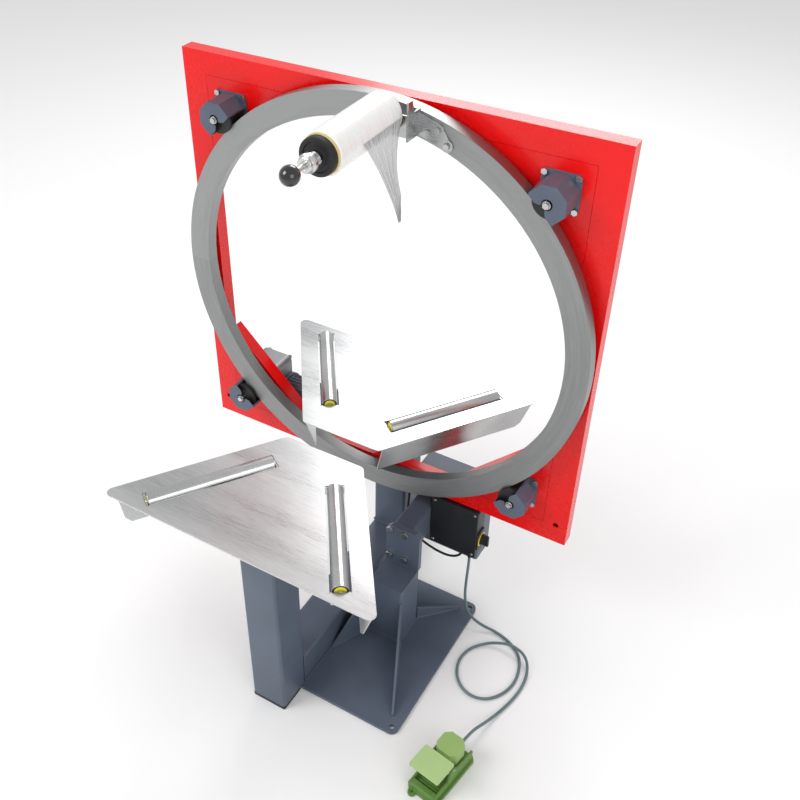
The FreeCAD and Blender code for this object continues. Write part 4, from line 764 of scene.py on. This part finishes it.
lid_corners = [(x, 0.2383, z) for x in (0.046, 0.166) for z in (0.213, 0.363)]
set_heads("lid_screws", lid_corners, FACING_FRONT, 0.0042, 0.0016, zinc_plate, "stand")
cover_corners = [(-0.5504 + x, 0.3735, 0.5166 + z) for x in (-0.036, 0.036) for z in (-0.036, 0.036)]
set_heads("gearbox_screws", cover_corners, FACING_BACK, 0.0065, 0.005, zinc_plate, "stand", 6)


def motor_fins():
    """Cooling fins round the motor's body, cast with it."""
    tree, entry, exit_node = new_tree("cooling fins", [
        ("Count", "NodeSocketInt", 26), ("Radius", "NodeSocketFloat", 0.0435),
        ("Size", "NodeSocketVector", (0.005, 0.0016, 0.105)), ("Middle", "NodeSocketVector", None),
        ("Material", "NodeSocketMaterial", None)])
    circle = add(tree, "GeometryNodeMeshCircle", links={
        "Vertices": entry.outputs["Count"], "Radius": entry.outputs["Radius"]})
    outward = add(tree, "GeometryNodeInputPosition")
    turn = add(tree, "FunctionNodeAlignRotationToVector", {"axis": "X"}, {"Vector": outward.outputs[0]})
    fin = add(tree, "GeometryNodeMeshCube", links={"Size": entry.outputs["Size"]})
    placed = add(tree, "GeometryNodeInstanceOnPoints", links={
        "Points": circle.outputs[0], "Instance": fin.outputs["Mesh"], "Rotation": turn.outputs[0]})
    moved = add(tree, "GeometryNodeTransform", {"Rotation": (0, math.radians(90), 0)},
                {"Geometry": placed.outputs[0], "Translation": entry.outputs["Middle"]})
    end_tree(tree, moved.outputs[0], entry, exit_node)
    grown("motor_fins", tree, {"Middle": (-0.434, 0.339, 0.4666), "Material": motor_enamel}, "stand")


motor_fins()


def switch_ring():
    """Yellow ring under the main switch's knob."""
    profile = [(0.0, 0.0163), (0.0, 0.0206), (0.001, 0.0206), (0.0016, 0.02), (0.0016, 0.0163),
               (0.0, 0.0163)]
    turned = lathed(profile, (0.181, 0.263, 0.262), (1, 0, 0), 56)
    new_piece("switch_ring", turned, signal_yellow, "stand", 30)


switch_ring()


# ---- floor and light ---------------------------------------------------------------------------------
def studio():
    """Pale floor, white surroundings and soft lights."""
    edit = bmesh.new()
    reach = 14
    below_feet = 0.0005
    for x, y in ((-reach, -reach), (reach, -reach), (reach, reach), (-reach, reach)):
        edit.verts.new((x, y, -below_feet))
    edit.faces.new(edit.verts)
    mesh = bpy.data.meshes.new("floor")
    edit.to_mesh(mesh)
    edit.free()
    floor = bpy.data.objects.new("floor", mesh)
    bpy.context.scene.collection.objects.link(floor)
    material, tree, shader = start_material("matt_white_floor_paint", Roughness=0.85,
                                            Specular_IOR_Level=0.2)
    shader.inputs["Base Color"].default_value = linear("#f4f4f4")
    mesh.materials.append(material)
    world = bpy.data.worlds.new("studio")
    bpy.context.scene.world = world
    world.use_nodes = True
    background = world.node_tree.nodes["Background"]
    background.inputs["Color"].default_value = linear("#ffffff")
    background.inputs["Strength"].default_value = 0.72
    for name, place, aim, size, power in (
        ("key", (-2.6, -3.0, 4.2), (0, 0, 0.7), 2.4, 105.0),
        ("fill", (3.4, -2.2, 2.6), (0, 0, 0.5), 2.6, 40.0),
        ("rim", (-1.0, 3.4, 3.6), (0, 0, 0.8), 2.0, 70.0),
    ):
        data = bpy.data.lights.new(name, "AREA")
        data.size = size
        data.energy = power
        lamp = bpy.data.objects.new(name, data)
        lamp.location = place
        lamp.rotation_euler = (Vector(aim) - Vector(place)).to_track_quat("-Z", "Y").to_euler()
        bpy.context.scene.collection.objects.link(lamp)
    bpy.context.scene.view_settings.view_transform = "Standard"


studio()
